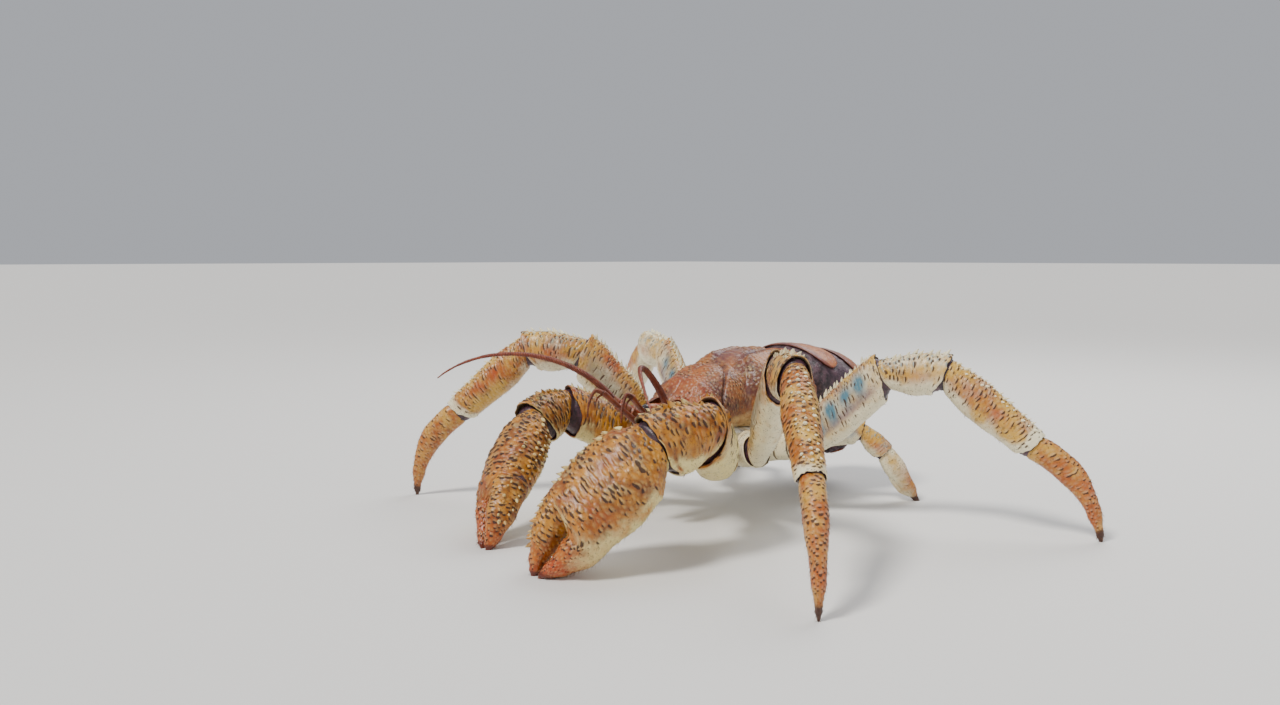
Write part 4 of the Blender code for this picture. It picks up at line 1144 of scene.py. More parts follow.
# One claw limb: a piece for each node, one of joint skins, and bristles kept for the coat
def clawLimb(side):
    chain, girth = limbChain("claw", side)
    name = "claw_" + sideNames[side]
    palm = chain["palm"]
    finger, thumb = digitOf(palm, side, 1, girth), digitOf(palm, side, -1, girth)
    first = 40 + 7 * side
    for seed, (kind, seg) in enumerate({**chain, "finger": finger}.items(), first):
        look, rows = clawLooks[kind], clawSpines.get(kind, ())
        pale, tip = (0.5, 0.6) if kind == "finger" else (0.55, 0.75)
        if kind == "palm":
            parts = [palmShell(palm, thumb, look, seed), molarsOn(thumb, 0, girth, seed)]
        else:
            parts = [shellSegment(seg, look, clawPaint, seed)]
        if kind == "finger":
            parts.append(molarsOn(finger, 180, girth, seed))
        parts += spineRows(seg, rows, girth, seed, pale=pale, tip=tip)
        place(f"{name}_{kind}_shell", joined(parts), "clawShell", (f"{name}_{kind}",))
    joints = zip(chain, list(chain)[1:])
    hinges = [membranePart(chain[before], chain[after], skinReach[before]) for before, after in joints]
    hinges.append(fingerHinge(finger, girth))
    place(f"{name}_joint_skin", joined(hinges), "jointSkin")
    seed = first + 3
    for kind, count in clawBristles.items():
        height = bristleHeights["claw"] * girth
        coats["claw"].append(limbBristles(chain[kind], count, height, seed + count))
    coats["claw"].append(limbBristles(finger, fingerBristles, bristleHeights["finger"] * girth, seed))


legSeeds = dict(leg2=60, leg3=80, leg4=100)


# One walking leg in the same way
def walkingLimb(name, side):
    chain, girth = limbChain(name, side)
    prefix = f"{name}_{sideNames[side]}"
    seed = legSeeds[name] + 5 * side
    small = name == "leg4"
    kinds = list(chain)
    for kind in kinds:
        look = smallLook if small and kind not in ("base", "hand") else legLooks[kind]
        parts = [shellSegment(chain[kind], look, legPaint, seed)]
        if not small:
            parts += spineRows(chain[kind], legSpines.get(kind, ()), girth, seed, pale=0.85, tip=0.55)
        if kind == "hand":
            parts.append(smallThumb(chain[kind]))
        finish = "secondLegShell" if name == "leg2" else "legShell"
        place(f"{prefix}_{kind}_shell", joined(parts), finish, (f"{prefix}_{kind}",))
        seed += 1
    reach = skinReach["small" if small else "leg"]
    joints = zip(kinds, kinds[1:])
    hinges = [membranePart(chain[before], chain[after], reach, seed) for before, after in joints]
    place(f"{prefix}_joint_skin", joined(hinges), "jointSkin")
    for kind in kinds:
        count = legBristles[kind] // (3 if small else 1)
        height = bristleHeights["small" if small else "leg"]
        coats["leg"].append(limbBristles(chain[kind], count, height, seed + count))


# The fourth leg's fixed finger: span and place on the hand, bow, and radius at root and tip
thumbForm = dict(
    rows=26, around=24, span=(0.42, 0.5), sunk=0.75, bow=0.003, radius=0.0042, tip=0.0004, flat=0.8,
)


# The short fixed finger of a fourth leg's pincer: a narrowing rod that bows away from the hand by a half sine
def smallThumb(hand):
    rows = thumbForm["rows"]
    t = np.linspace(0, 1, rows)[:, None]
    a = columns(thumbForm["around"])
    start, length = thumbForm["span"]
    spine = pointOn(hand, start + length * t[:, 0], np.full(rows, -0.5 * math.pi), thumbForm["sunk"])
    spine = spine - hand["crest"] * (thumbForm["bow"] * np.sin(np.pi * t))
    wide = thumbForm["radius"] * (1 - t) ** 0.6 + thumbForm["tip"]
    circle = np.cos(a)[..., None] * hand["across"] + thumbForm["flat"] * np.sin(a)[..., None] * hand["crest"]
    p = spine[:, None] + wide[..., None] * circle
    p[..., 2] = np.maximum(p[..., 2], 0.0)
    return tubePart(p, pale=0.6, tip=ease(0.7, 1.0, t))


# Wrinkled skin: scales of its folds, broad flush and grains, their bands, and what they do to the height
skin = dict(
    folds=150.0, broad=34.0, grains=620.0, foldBand=(0.36, 0.66), flushBand=(0.5, 0.68, 0.0, 0.6),
    sheenBand=(0.3, 0.7), sheen=(0.12, -0.08), crease=0.8, foldHeight=1.2, grainHeight=0.55,
    shine={"Coat Weight": 0.15, "Coat Roughness": 0.3},
)


# Wrinkled skins: broad and fine folds with a soft sheen, and painted shade: the deep colour in the low folds
# # and in the creases that the spot mark gives
def skinFinish(name, deep, raised, flush, rough, bump, scale):
    material, tree, shader = newMaterial(name, skin["shine"])
    where = objectPlace(tree)
    folds = noiseOf(tree, where, skin["folds"] * scale, 6.0, 0.65)
    broad = noiseOf(tree, where, skin["broad"] * scale, 3.0)
    grains = cellsOf(tree, where, skin["grains"] * scale)
    # Painted shade: the deep colour in the low folds, the raised colour on their tops
    colour = blendOf(tree, spread(tree, folds, *skin["foldBand"]), deep, raised)
    colour = blendOf(tree, spread(tree, broad, *skin["flushBand"]), colour, flush)
    colour = blendOf(tree, markOf(tree, "pale"), colour, raised)
    # The spot mark paints the deep colour: painted shade in the sac's creases, and the tail's dark seams
    colour = blendOf(tree, times(tree, markOf(tree, "spot"), skin["crease"]), colour, deep)
    sheen = spread(tree, folds, *skin["sheenBand"], *(rough + more for more in skin["sheen"]))
    feedAll(tree, shader, {"Base Color": colour, "Roughness": sheen})
    folds, grains = times(tree, folds, skin["foldHeight"]), times(tree, grains, skin["grainHeight"])
    addBump(tree, shader, calc(tree, "ADD", folds, grains), bump)
    return material


# Each skin's deep, raised and flushed colours, roughness, bump and scale
skinFinishes = dict(
    jointSkin=((34, 18, 26), (78, 46, 58), (60, 30, 48), 0.4, 0.0003, 1.6),
    abdomenSkin=((32, 18, 24), (92, 62, 72), (70, 40, 62), 0.5, 0.0008, 1.0),
)
for name, (deep, raised, flush, rough, bump, scale) in skinFinishes.items():
    finishes[name] = skinFinish(name, rgb(*deep), rgb(*raised), rgb(*flush), rough, bump, scale)
for side in (1, -1):
    clawLimb(side)
    print("claw", sideNames[side])
    for name in legSeeds:
        walkingLimb(name, side)
    print("legs", sideNames[side])


# Carapace: head and thorax in one shield, open in front for the eyes and feelers
shield = dict(
    headWidth=((0, 0.034), (0.25, 0.041), (0.7, 0.045), (1, 0.043)),
    headTop=((0, 0.126), (0.3, 0.141), (0.75, 0.153), (1, 0.151)),
    thoraxWidth=((0, 0.045), (0.22, 0.06), (0.58, 0.074), (0.85, 0.068), (1, 0.054)),
    thoraxTop=((0, 0.15), (0.3, 0.163), (0.65, 0.165), (1, 0.146)),
    headMiddle=0.112, thoraxMiddle=0.121, lowShare=1.35,
    brow=0.0035, tooth=0.0075, toothAt=0.0265, toothWidth=0.0045, beak=0.0115, beakHalf=0.0115,
    rugae=0.0012, cell=0.004, cells=64, slow=(0.02, 0.0018), grain=(0.0022, 0.00025), rows=214, around=264,
    wallRows=22, wallNoise=(0.006, 0.0022), wallRidge=(0.0045, 0.0022), wallPit=(0.002, 0.0015),
    hood=(0.016, 0.0042), beakDrop=(0.011, 0.0025), browNotch=(0.014, 0.006), mottle=0.0075, broad=0.03,
    rearLip=((-0.006, 0.8), (-0.002, 0.84), (-0.0002, 0.91)), frontLip=((0.0006, 0.955), (0.0024, 0.925)),
    wallPitAt=0.01, wallSwell=(0.915, 0.045),
)

# Lines of the back: width of the bell across each and its depth, negative where it stands up
backLines = dict(
    groove=(0.0026, 0.0032), second=(0.0022, 0.0012), furrow=(0.0034, 0.004), ridge=(0.006, -0.0014),
    seam=(0.035, 0.0009), margin=(0.0018, 0.0012), lobes=(0.012, -0.0016), middle=(0.0016, 0.0007),
)


# Half width, top and middle of the body at y: the head's curves eased into the thorax's at the neck
def bodySection(y):
    head = (y - frontY) / (neckY - frontY)
    thorax = (y - neckY) / (thoraxRear - neckY)
    share = ease(neckY - 0.014, neckY + 0.014, y)
    wide = eased(head, shield["headWidth"]) * (1 - share) + eased(thorax, shield["thoraxWidth"]) * share
    top = eased(head, shield["headTop"]) * (1 - share) + eased(thorax, shield["thoraxTop"]) * share
    middle = shield["headMiddle"] * (1 - share) + shield["thoraxMiddle"] * share
    return wide, top, middle


# Point of the shield at y and angle a: an oval with a flat underside at the shell's floor level
def shieldPoint(y, a, swell=1.0):
    c, s = ovalOf(a, 0.9)
    wide, top, middle = bodySection(y)
    low = middle - shellZ
    z = middle + np.where(s > 0, (top - middle) * s, low * shield["lowShare"] * s) * swell
    lift = z - shellZ - 0.0004
    z = shellZ + 0.0004 + 0.5 * (lift + np.sqrt(lift**2 + 0.0016**2))
    return np.stack((wide * c * swell, y + 0 * z, z), -1)


# The shield's front edge: hollow over the eyes, a tooth outside each, the beak between, drawn back below
def frontEdge(a):
    c, s = ovalOf(a, 0.9)
    x = np.abs(shield["headWidth"][0][1] * c)
    edge = shield["brow"] + shield["tooth"] * bell(x - shield["toothAt"], shield["toothWidth"])
    edge = edge + shield["beak"] * clamped(1 - x / shield["beakHalf"]) ** 1.15
    return frontY - edge * ease(-0.05, 0.25, s) + 0.01 * ease(0.0, -0.5, s)


# The shield's grid: rows in y from the lip under its rear edge to the front edge, round that by a lip and in
# over the face's wall. Columns lie closest over the back, as the angle runs as a cubic
def shieldGrid():
    v = np.linspace(-1, 1, shield["around"], endpoint=False)[None]
    around = v * (0.42 + 0.58 * v * v)
    a = 0.5 * math.pi + math.pi * around
    r = np.linspace(0, 1, shield["rows"])[:, None]
    wall = np.linspace(0, 1, shield["wallRows"])[:, None]
    rear, front = thoraxRear - 0.0004, frontEdge(a)
    rearStep, rearSwell = np.array(shield["rearLip"]).T[..., None]
    frontStep, frontSwell = np.array(shield["frontLip"]).T[..., None]
    wallOuter, wallInner = shield["wallSwell"]
    wallAt = frontY + 0.003 - 0.002 * wall
    blocks = (
        (rear + rearStep, rearSwell, 0 * rearStep),
        (rear + (front - rear) * r, 1 - 0.03 * ease(0.9965, 1.0, r), ease(0, 0.02, r) * ease(1, 0.975, r)),
        (front + frontStep, frontSwell, 0 * frontStep),
        (wallAt, wallOuter + (wallInner - wallOuter) * wall, 0 * wall),
    )
    y, swell, fade = (np.concatenate([part + 0 * a for part in parts]) for parts in zip(*blocks))
    isWall = (np.arange(len(y)) >= len(y) - shield["wallRows"])[:, None] * 1.0
    return v, around, front, y, swell, fade, isWall


# How strongly each line of the back shows: a bell across it, faded at its ends
def linesOn(y, s, side, behind):
    width = {name: size for name, (size, _) in backLines.items()}
    upper = ease(0.1, 0.5, s)
    grooveAt = neckY + 0.004 - 0.042 * (side / 0.045) ** 1.7
    furrowAt = 0.25 * bodySection(y)[0] + 0.0025 * np.sin((y - neckY) * 55)
    onTop = behind * ease(0.1, 0.6, s)
    return dict(
        groove=bell(y - grooveAt, width["groove"]) * ease(-0.2, 0.1, s),
        second=bell(y - grooveAt - 0.02 - 0.3 * side, width["second"]) * upper * ease(0.062, 0.03, side),
        furrow=bell(side - furrowAt, width["furrow"]) * onTop,
        ridge=bell(side - furrowAt - 0.008, width["ridge"]) * onTop,
        seam=bell(s - 0.3 - 0.05 * np.sin(y * 60), width["seam"]) * behind,
        margin=bell(y - thoraxRear + 0.01, width["margin"]) * ease(-0.1, 0.2, s),
        lobes=bell(y - frontY - 0.026, width["lobes"]) * bell(side - 0.017, 0.009) * upper,
        middle=bell(side, width["middle"]) * ease(neckY + 0.02, neckY - 0.01, y) * ease(0.3, 0.7, s),
    )


# The carapace: the shield drawn down at its front edge and pushed along its normals by scales, noise and the
# back's lines, with the face's wall as a rough inner end
def carapacePiece():
    v, around, front, y, swell, fade, isWall = shieldGrid()
    a = np.broadcast_to(0.5 * math.pi + math.pi * around, y.shape)
    p = shieldPoint(y, a, swell)
    s, side = np.sin(a), np.abs(p[..., 0])
    (hoodReach, hoodDepth), (dropReach, dropDepth) = shield["hood"], shield["beakDrop"]
    hood = (1 - ease(0.0, hoodReach, np.maximum(y - front, 0))) ** 1.5 * ease(0.15, 0.6, s)
    notchAt, notchWidth = shield["browNotch"]
    hood = hood * (1 - 0.45 * bell(side - notchAt, notchWidth)) * (1 - isWall)
    ahead = clamped((frontY - 0.004 - y) / dropReach)
    p[..., 2] -= hoodDepth * hood + dropDepth * ahead
    n = gridNormals(p)
    rise = ease(-0.1, 0.35, s)
    behind = ease(neckY + 0.004, neckY + 0.024, y)
    lines = linesOn(y, s, side, behind)
    wrap = shield["cells"]
    tall, drop, share = rugae(-y / shield["cell"], (around + 1) * 0.5 * wrap, wrap, 21)
    rough = (0.55 + 0.45 * ease(-0.2, 0.25, uneven(p, shield["slow"][0], 9))) * ease(-0.35, 0.1, s)
    rough = rough * (1 - 0.8 * lines["groove"]) * (1 - 0.6 * lines["furrow"])
    (_, slow), (_, grain) = swelling(p, shield["slow"], 5), swelling(p, shield["grain"], 6)
    height = shield["rugae"] * rough * (tall - 0.3 * drop) + slow + grain
    for name, (_, depth) in backLines.items():
        height = height - depth * lines[name]
    (noiseSize, noiseDepth), (ridgeWidth, ridgeHeight) = shield["wallNoise"], shield["wallRidge"]
    pitWidth, pitDepth = shield["wallPit"]
    wallRelief = noiseDepth * uneven(p, noiseSize, 15, 3) + ridgeHeight * bell(side, ridgeWidth)
    wallRelief = wallRelief - pitDepth * bell(side - shield["wallPitAt"], pitWidth)
    p = pushed(p, n, height * fade)
    p[..., 1] -= wallRelief * isWall * ease(0, 0.2, shield["wallSwell"][0] - swell)
    mottle, broad = cloud(p, shield["mottle"], 31, 3), cloud(p, shield["broad"], 12, 2)
    under = ease(0.1, -0.5, s)
    outer = (1 - isWall) * clamped(fade * 8)
    # Dark at the scales' drops: the shell's own dark margins together with painted shade in the step. The
    # grooves and furrows are darkened as painted shade
    dark = 0.95 * drop * ease(0.15, 0.7, share + broad - 0.5) * rough
    dark = dark + 0.35 * lines["groove"] + 0.3 * lines["furrow"]
    dark = clamped(dark) * (1 - 0.6 * under) * outer
    onHead = ease(neckY + 0.02, frontY, y)
    # The rim lips, tucked under the shield's edges, are darkened as painted shade under the edge
    marks = dict(
        spot=dark + 0.65 * (1 - outer) * (1 - isWall) + 0.35 * isWall * ease(0.5, 0.8, mottle),
        pale=clamped(0.3 * ease(0.5, 0.78, mottle) * rise + 0.7 * under) * outer + 0.24 * isWall,
        warm=0.55 * ease(0.54, 0.4, broad) * onHead + 0.3 * isWall,
        cool=0.45 * ease(0.46, 0.62, broad) * (0.25 + 0.75 * behind) * rise * outer,
        worn=0.7 * tall * rough * outer,
    )
    along = np.linspace(0, 1, len(y))[:, None] + 0 * y
    grid = dict(p=p, n=n, drop=drop * rough * outer, u=along, a=(v + 1) * math.pi + 0 * y)
    return tubePart(p, **marks), grid


carapace, carapaceGrid = carapacePiece()
place("carapace", carapace, "carapaceShell", ("head_shield", "thorax_shield"))
print("carapace")


# Breast block: its seams' y, slant and width, the plates' swelling, the underside's hollow, and noise
breast = dict(
    seams=(-0.026, 0.01, 0.046), slant=0.3, seamWidth=0.001, plateSwell=0.0018, hollow=0.0036, start=0.03,
    around=160, flatRows=76, flankRows=26, slow=(0.009, 0.0022), grain=(0.003, 0.0006), nearCut=0.005,
)


# The breast block: rings from the middle of its underside to the rim, then up the flaring side. Plates stand
# out between seams that run out from the middle
def sternumPiece():
    corners = np.concatenate((sternumPlan(), sternumPlan()[:1]))
    v = np.linspace(0, 1, breast["around"], endpoint=False)
    steps = np.concatenate(([0], np.cumsum(np.linalg.norm(np.diff(corners, axis=0), axis=1))))
    rim = np.stack([np.interp(v * steps[-1], steps, corners[:, n]) for n in range(2)], 1)
    for _ in range(5):
        rim = (np.roll(rim, 1, 0) + 2 * rim + np.roll(rim, -1, 0)) / 4
    middle = rim.mean(0)
    out = unit(rim - middle)
    floorLevel, top = build["sternumFloor"], shellZ - 0.0006
    inner = np.linspace(breast["start"], 1, breast["flatRows"])[:, None]
    outer = np.linspace(breast["start"], 1, breast["flankRows"])[:, None]
    flat = middle + (rim - middle)[None] * inner[..., None]
    flank = rim[None] + (sternumFlare * outer)[..., None] * out[None]
    rows = np.concatenate((flat, flank))
    below = floorLevel - breast["hollow"] * (1 - ease(0.55, 1.0, inner))
    z = np.concatenate((below, floorLevel + (top - floorLevel) * outer)) + 0 * rows[..., 0]
    p = np.concatenate((rows, z[..., None]), -1)
    n = gridNormals(p)
    x, y = p[..., 0], p[..., 1]
    side = np.abs(x)
    (slow, swell), (_, grain) = swelling(p, breast["slow"], 71, 3), swelling(p, breast["grain"], 72)
    fromSeams = [y - at - breast["slant"] * side for at in breast["seams"]]
    seams = sum(bell(off - 0.004 * slow, breast["seamWidth"]) for off in fromSeams)
    cuts = clamped(0.9 * seams * ease(0.002, 0.016, side) + bell(x - 0.003 * slow, breast["seamWidth"]))
    height = breast["plateSwell"] * (0.5 - cuts) + swell + grain
    nearCut = clamped(sum(bell(off, breast["nearCut"]) for off in fromSeams)) * ease(0.0, 0.02, side)
    onFlank = ease(0.055, 0.066, z)
    dark = np.clip(0.55 * cuts * (1 + slow) + 0.5 * onFlank * ease(0.0, 0.2, slow), 0, 0.85)
    warm = 0.25 * nearCut * ease(-0.1, 0.2, slow)
    return tubePart(pushed(p, n, height), pale=0.85 - 0.5 * nearCut + 0.8 * slow, spot=dark, warm=warm)


place("breast_plates", sternumPiece(), "paleShell", ("sternum",))


# Smooth way through points: cubic Catmull-Rom pieces
def wayThrough(points, count):
    p = np.array(points, float)
    p = np.concatenate((2 * p[:1] - p[1:2], p, 2 * p[-1:] - p[-2:-1]))
    t = np.linspace(0, len(points) - 1, count)
    i = np.minimum(t.astype(int), len(points) - 2)
    f = (t - i)[:, None]
    a, b, c, d = p[i], p[i + 1], p[i + 2], p[i + 3]
    return 0.5 * (2 * b + (c - a) * f + (2 * a - 5 * b + 4 * c - d) * f**2 + (3 * b - a - 3 * c + d) * f**3)


# Tube along a way: circles square to it, their sideways axis square to a reference, flattened across that
def sweep(way, radius, around, reference, flat=1.0):
    tangent = unit(np.gradient(way, axis=0))
    across = unit(np.cross(tangent, np.array(reference, float)))
    over = np.cross(across, tangent)
    a = columns(around)
    c, s = ovalOf(a, 0.95)
    wide, high = radius[:, None] * c, flat * radius[:, None] * s
    return way[:, None] + wide[..., None] * across[:, None] + high[..., None] * over[:, None]


# Abdomen: a soft sac that rises from the thorax and turns down, with five horn plates across its back
belly = dict(
    length=0.128, pitch=(16, -62), wide=((0, 0.042), (0.2, 0.058), (0.5, 0.067), (0.8, 0.056), (1, 0.03)),
    upper=((0, 0.024), (0.25, 0.041), (0.6, 0.045), (1, 0.022)),
    lower=((0, 0.024), (0.3, 0.046), (0.65, 0.044), (1, 0.02)),
    gaps=(0.195, 0.435, 0.675, 0.88), gap=(0.018, 0.0012), rows=186, around=204, stretch=(0.55, 1.0, 0.8),
    folds=(0.0065, 0.003), slow=(0.022, 0.0022), ringFolds=(74, 0.00055),
)
# Back plates: spans along, degrees down the sides, rise and depth of walls; taper shortens them at the sides
plate = dict(
    spans=((0.04, 0.17), (0.22, 0.41), (0.46, 0.65), (0.7, 0.86), (0.9, 0.985)), down=(50, 62, 64, 62, 58),
    relief=(0.0028, 0.005), taper=0.45, rows=90, around=62, sunk=0.001, dome=0.0014, wallShare=0.9,
    slow=(0.01, 0.0007), rugae=0.0005, cell=(0.0042, 0.0095), grain=(0.0022, 0.00016),
    rim=(0.84, 0.028, 0.0004), tailSpans=((0.03, 0.27), (0.33, 0.59), (0.65, 0.93)), tailDown=62,
    tailRelief=(0.0014, 0.0026),
)
tail = dict(
    length=0.044, turned=-95, wide=((0, 0.028), (0.6, 0.02), (1, 0.005)), seams=(0.3, 0.62),
    seam=(0.02, 0.0014), slow=(0.006, 0.0022), rows=104, around=88,
)
# The tail's pads: place, run sideways, back and down, radii, and knobs as turns along and around, and height
pad = dict(
    at=0.36, sunk=0.004, run=(0.009, 0.0015, -0.0105), radii=((0, 0.0042), (0.5, 0.0052), (1, 0.0012)),
    rows=60, around=48, flat=0.62, knobs=(60, 8, 0.0004),
)
bellyStart = np.array((0.0, thoraxRear + build["gap"], 0.119))


# Centreline with a steadily turning pitch: its place is the integral of the direction's cosine and sine
def bend(start, length, first, last, u):
    turned = math.radians(last - first)
    pitch = math.radians(first) + turned * u
    away = length * (np.sin(pitch) - math.sin(math.radians(first))) / turned
    rise = length * (math.cos(math.radians(first)) - np.cos(pitch)) / turned
    zero = 0 * pitch
    return start + np.stack((zero, away, rise), -1), np.stack((zero, -np.sin(pitch), np.cos(pitch)), -1)


# Point of the sac at u and angle a: half width by cosine, upper or lower half height by sine, the front end
# flat against the thorax
def bellyPoint(u, a, raised=0.0):
    u, a = np.broadcast_arrays(u, a)
    c, s = ovalOf(a, 0.95)
    centre, rise = bend(bellyStart, belly["length"], *belly["pitch"], u)
    high = np.where(s > 0, eased(u, belly["upper"]), eased(u, belly["lower"])) + raised
    wide = eased(u, belly["wide"]) + raised
    p = centre + (wide * c)[..., None] * (1.0, 0, 0) + (high * s)[..., None] * rise
    p[..., 1] -= (p[..., 1] - bellyStart[1]) * (1 - u) ** 3
    return p


# The soft sac: its surface pushed along the normals by folds longest across, and finer ring folds below
def abdomenPiece():
    u = np.linspace(-0.02, 1, belly["rows"])[:, None]
    a = columns(belly["around"])
    u, a = np.broadcast_arrays(u, a)
    p = bellyPoint(clamped(u), a, -0.0012 * (u < 0))
    p[..., 1] += np.minimum(u, 0) * 0.2
    n = gridNormals(p)
    (ringTurns, ringDepth), (gapWidth, gapDepth) = belly["ringFolds"], belly["gap"]
    folds, rise = swelling(p * belly["stretch"], belly["folds"], 41, 4)
    slow, swell = swelling(p, belly["slow"], 43)
    ringFolds = np.sin(u * ringTurns + 3.0 * slow + 1.2 * np.sin(a * 3))
    s = np.sin(a)
    height = rise + swell + ringDepth * ringFolds * ease(0.3, -0.3, s)
    gaps = sum(bell(u - at, gapWidth) for at in belly["gaps"]) * ease(-0.1, 0.5, s)
    height = (height - gapDepth * gaps) * ease(-0.02, 0.05, u)
    # Painted shade: the creases between the folds are darkened
    shadeInCreases = clamped(0.9 - 3.2 * (folds + 0.25))
    pale = 0.25 * ease(0.1, 0.3, folds) + 0.12 * ease(0, -0.8, s)
    return tubePart(pushed(p, n, height), spot=shadeInCreases, pale=pale)


# Point of the tail at t and angle a: the centreline bends on down and forward, the oval is flat and narrows
def tailPoint(t, a, raised=0.0):
    t, a = np.broadcast_arrays(t, a)
    end, _ = bend(bellyStart, belly["length"], *belly["pitch"], np.array(1.0))
    first = belly["pitch"][1]
    centre, rise = bend(end, tail["length"], first, first + tail["turned"], t)
    wide = eased(t, tail["wide"]) * (1 + 0.05 * np.cos(t * 19) * (1 - clamped(t))) + raised
    high = 0.6 * wide + 0.4 * raised
    c, s = ovalOf(a, 0.95)
    return centre + (wide * c)[..., None] * (1.0, 0, 0) + (high * s)[..., None] * rise


# The tail: thick rounded flaps swollen by noise, with a seam's bell cut in between them
def tailPiece():
    t = np.linspace(-0.06, 1, tail["rows"])[:, None]
    a = columns(tail["around"])
    t, a = np.broadcast_arrays(t, a)
    p = tailPoint(t, a)
    n = gridNormals(p)
    slow, swell = swelling(p, tail["slow"], 47, 3)
    seamWidth, seamDepth = tail["seam"]
    seams = sum(bell(t - at, seamWidth) for at in tail["seams"])
    height = swell - seamDepth * seams
    dark = clamped(0.6 * seams + 0.8 * ease(0.1, -0.15, slow))
    flaps = tubePart(pushed(p, n, height), pale=0.3 * ease(0.0, 0.25, slow), spot=dark)
    return joined([flaps, tailPad(1), tailPad(-1)])


# The rasping pads at the tail's sides: short rods with knobs, a product of sines along and around
def tailPad(side):
    t = np.linspace(0, 1, pad["rows"])
    root = tailPoint(pad["at"], 0.0 if side > 0 else math.pi)
    out, back, down = pad["run"]
    way = root + np.stack((side * (out * t - pad["sunk"]), back * t, down * t**1.3), 1)
    p = sweep(way, eased(t, pad["radii"]), pad["around"], (0, 1, 0), pad["flat"])
    along, around, height = pad["knobs"]
    knobs = np.sin(t * along)[:, None] * np.sin(around * columns(pad["around"]))
    return tubePart(pushed(p, gridNormals(p), height * knobs), pale=0.45 + 0.3 * knobs, spot=0.3)


# One back plate: a lens across the back, shortened to the sides by the fourth power, domed by a square root
def backPlate(pointOf, span, down, seed, raised, wall):
    around = plate["around"]
    t = np.linspace(-1, 1, plate["rows"])[:, None]
    loop = columns(around)
    v = 0.5 - 0.5 * np.cos(loop)
    outer = np.sin(loop)
    narrow = (span[1] - span[0]) * (1 - plate["taper"] * t**4) * np.sqrt(clamped(1.0004 - t**8))
    u = (span[0] + span[1]) / 2 + (v - 0.5) * narrow
    a = np.radians(90 - down * t) + 0 * v
    edge = 1 - (2 * v - 1) ** 2
    dome = np.where(outer > 0, plate["dome"], -plate["wallShare"] * wall)
    dome = raised - plate["sunk"] + edge**0.5 * dome
    p = pointOf(u, a, dome)
    n = gridNormals(p)
    (slow, swell), (_, grain) = (
        swelling(p, plate["slow"], seed, 3), swelling(p, plate["grain"], seed + 3),
    )
    top = ease(0.05, 0.4, outer)
    length = np.linalg.norm(p[:, 0] - p[:, around // 2], axis=-1)[:, None]
    width = np.linalg.norm(np.diff(p[:, around // 4], axis=0), axis=-1).sum()
    cellLong, cellWide = plate["cell"]
    x, y = v * length / cellLong + 1.2 * slow, t * width / cellWide + 2.0 * slow
    tall, drop, share = rugae(x, y, 997, seed)
    inside = ease(0.03, 0.16, np.minimum(v, 1 - v)) * ease(1.0, 0.9, np.abs(t))
    rimAt, rimWidth, rimDepth = plate["rim"]
    sunk = bell(v - rimAt, rimWidth)
    scales = plate["rugae"] * inside * (tall - 0.3 * drop)
    height = top * (swell + scales + grain - rimDepth * sunk)
    streak = ease(0.04, 0.26, uneven(p * (0.35, 1.6, 1.6), 0.006, seed + 9, 3))
    purple = 0.75 * (1 - ease(0.02, 0.42 + 0.5 * slow, v)) + 0.3 * bell(t, 0.05)
    # Pits at the scales' drops: the plate's own dark marks together with painted shade in the step; the rim's
    # sunk groove is darkened as painted shade
    pits = 0.8 * drop * ease(0.35, 0.9, share + slow) * inside
    marks = dict(
        warm=0.85 * (1 - inside) * top, cool=clamped(purple) * top,
        spot=clamped(0.4 * streak + pits + 0.3 * sunk) * top + 0.7 * (1 - top),
        pale=clamped(0.36 * ease(-0.1, 0.4, slow) * inside + 0.3 * bell(v - 0.92, 0.05)) * top,
        worn=0.5 * tall * inside * top,
    )
    hairs = top * bell(v - 0.9, 0.06) + drop * top * inside * 0.8
    grid = dict(p=p, n=n, drop=hairs, u=v + 0 * t, a=(t + 1) * math.pi + 0 * v)
    return tubePart(pushed(p, n, height), **marks), grid


place("abdomen_sac", abdomenPiece(), "abdomenSkin", ("abdomen",))
place("tail_flaps", tailPiece(), "abdomenSkin", ("tail",))
plates = [
    backPlate(bellyPoint, span, down, 50 + n, *plate["relief"])
    for n, (span, down) in enumerate(zip(plate["spans"], plate["down"]))
]
plates += [
    backPlate(tailPoint, span, plate["tailDown"], 60 + n, *plate["tailRelief"])
    for n, span in enumerate(plate["tailSpans"])
]
place("back_plates", joined([part for part, _ in plates]), "backPlates")
print("abdomen")


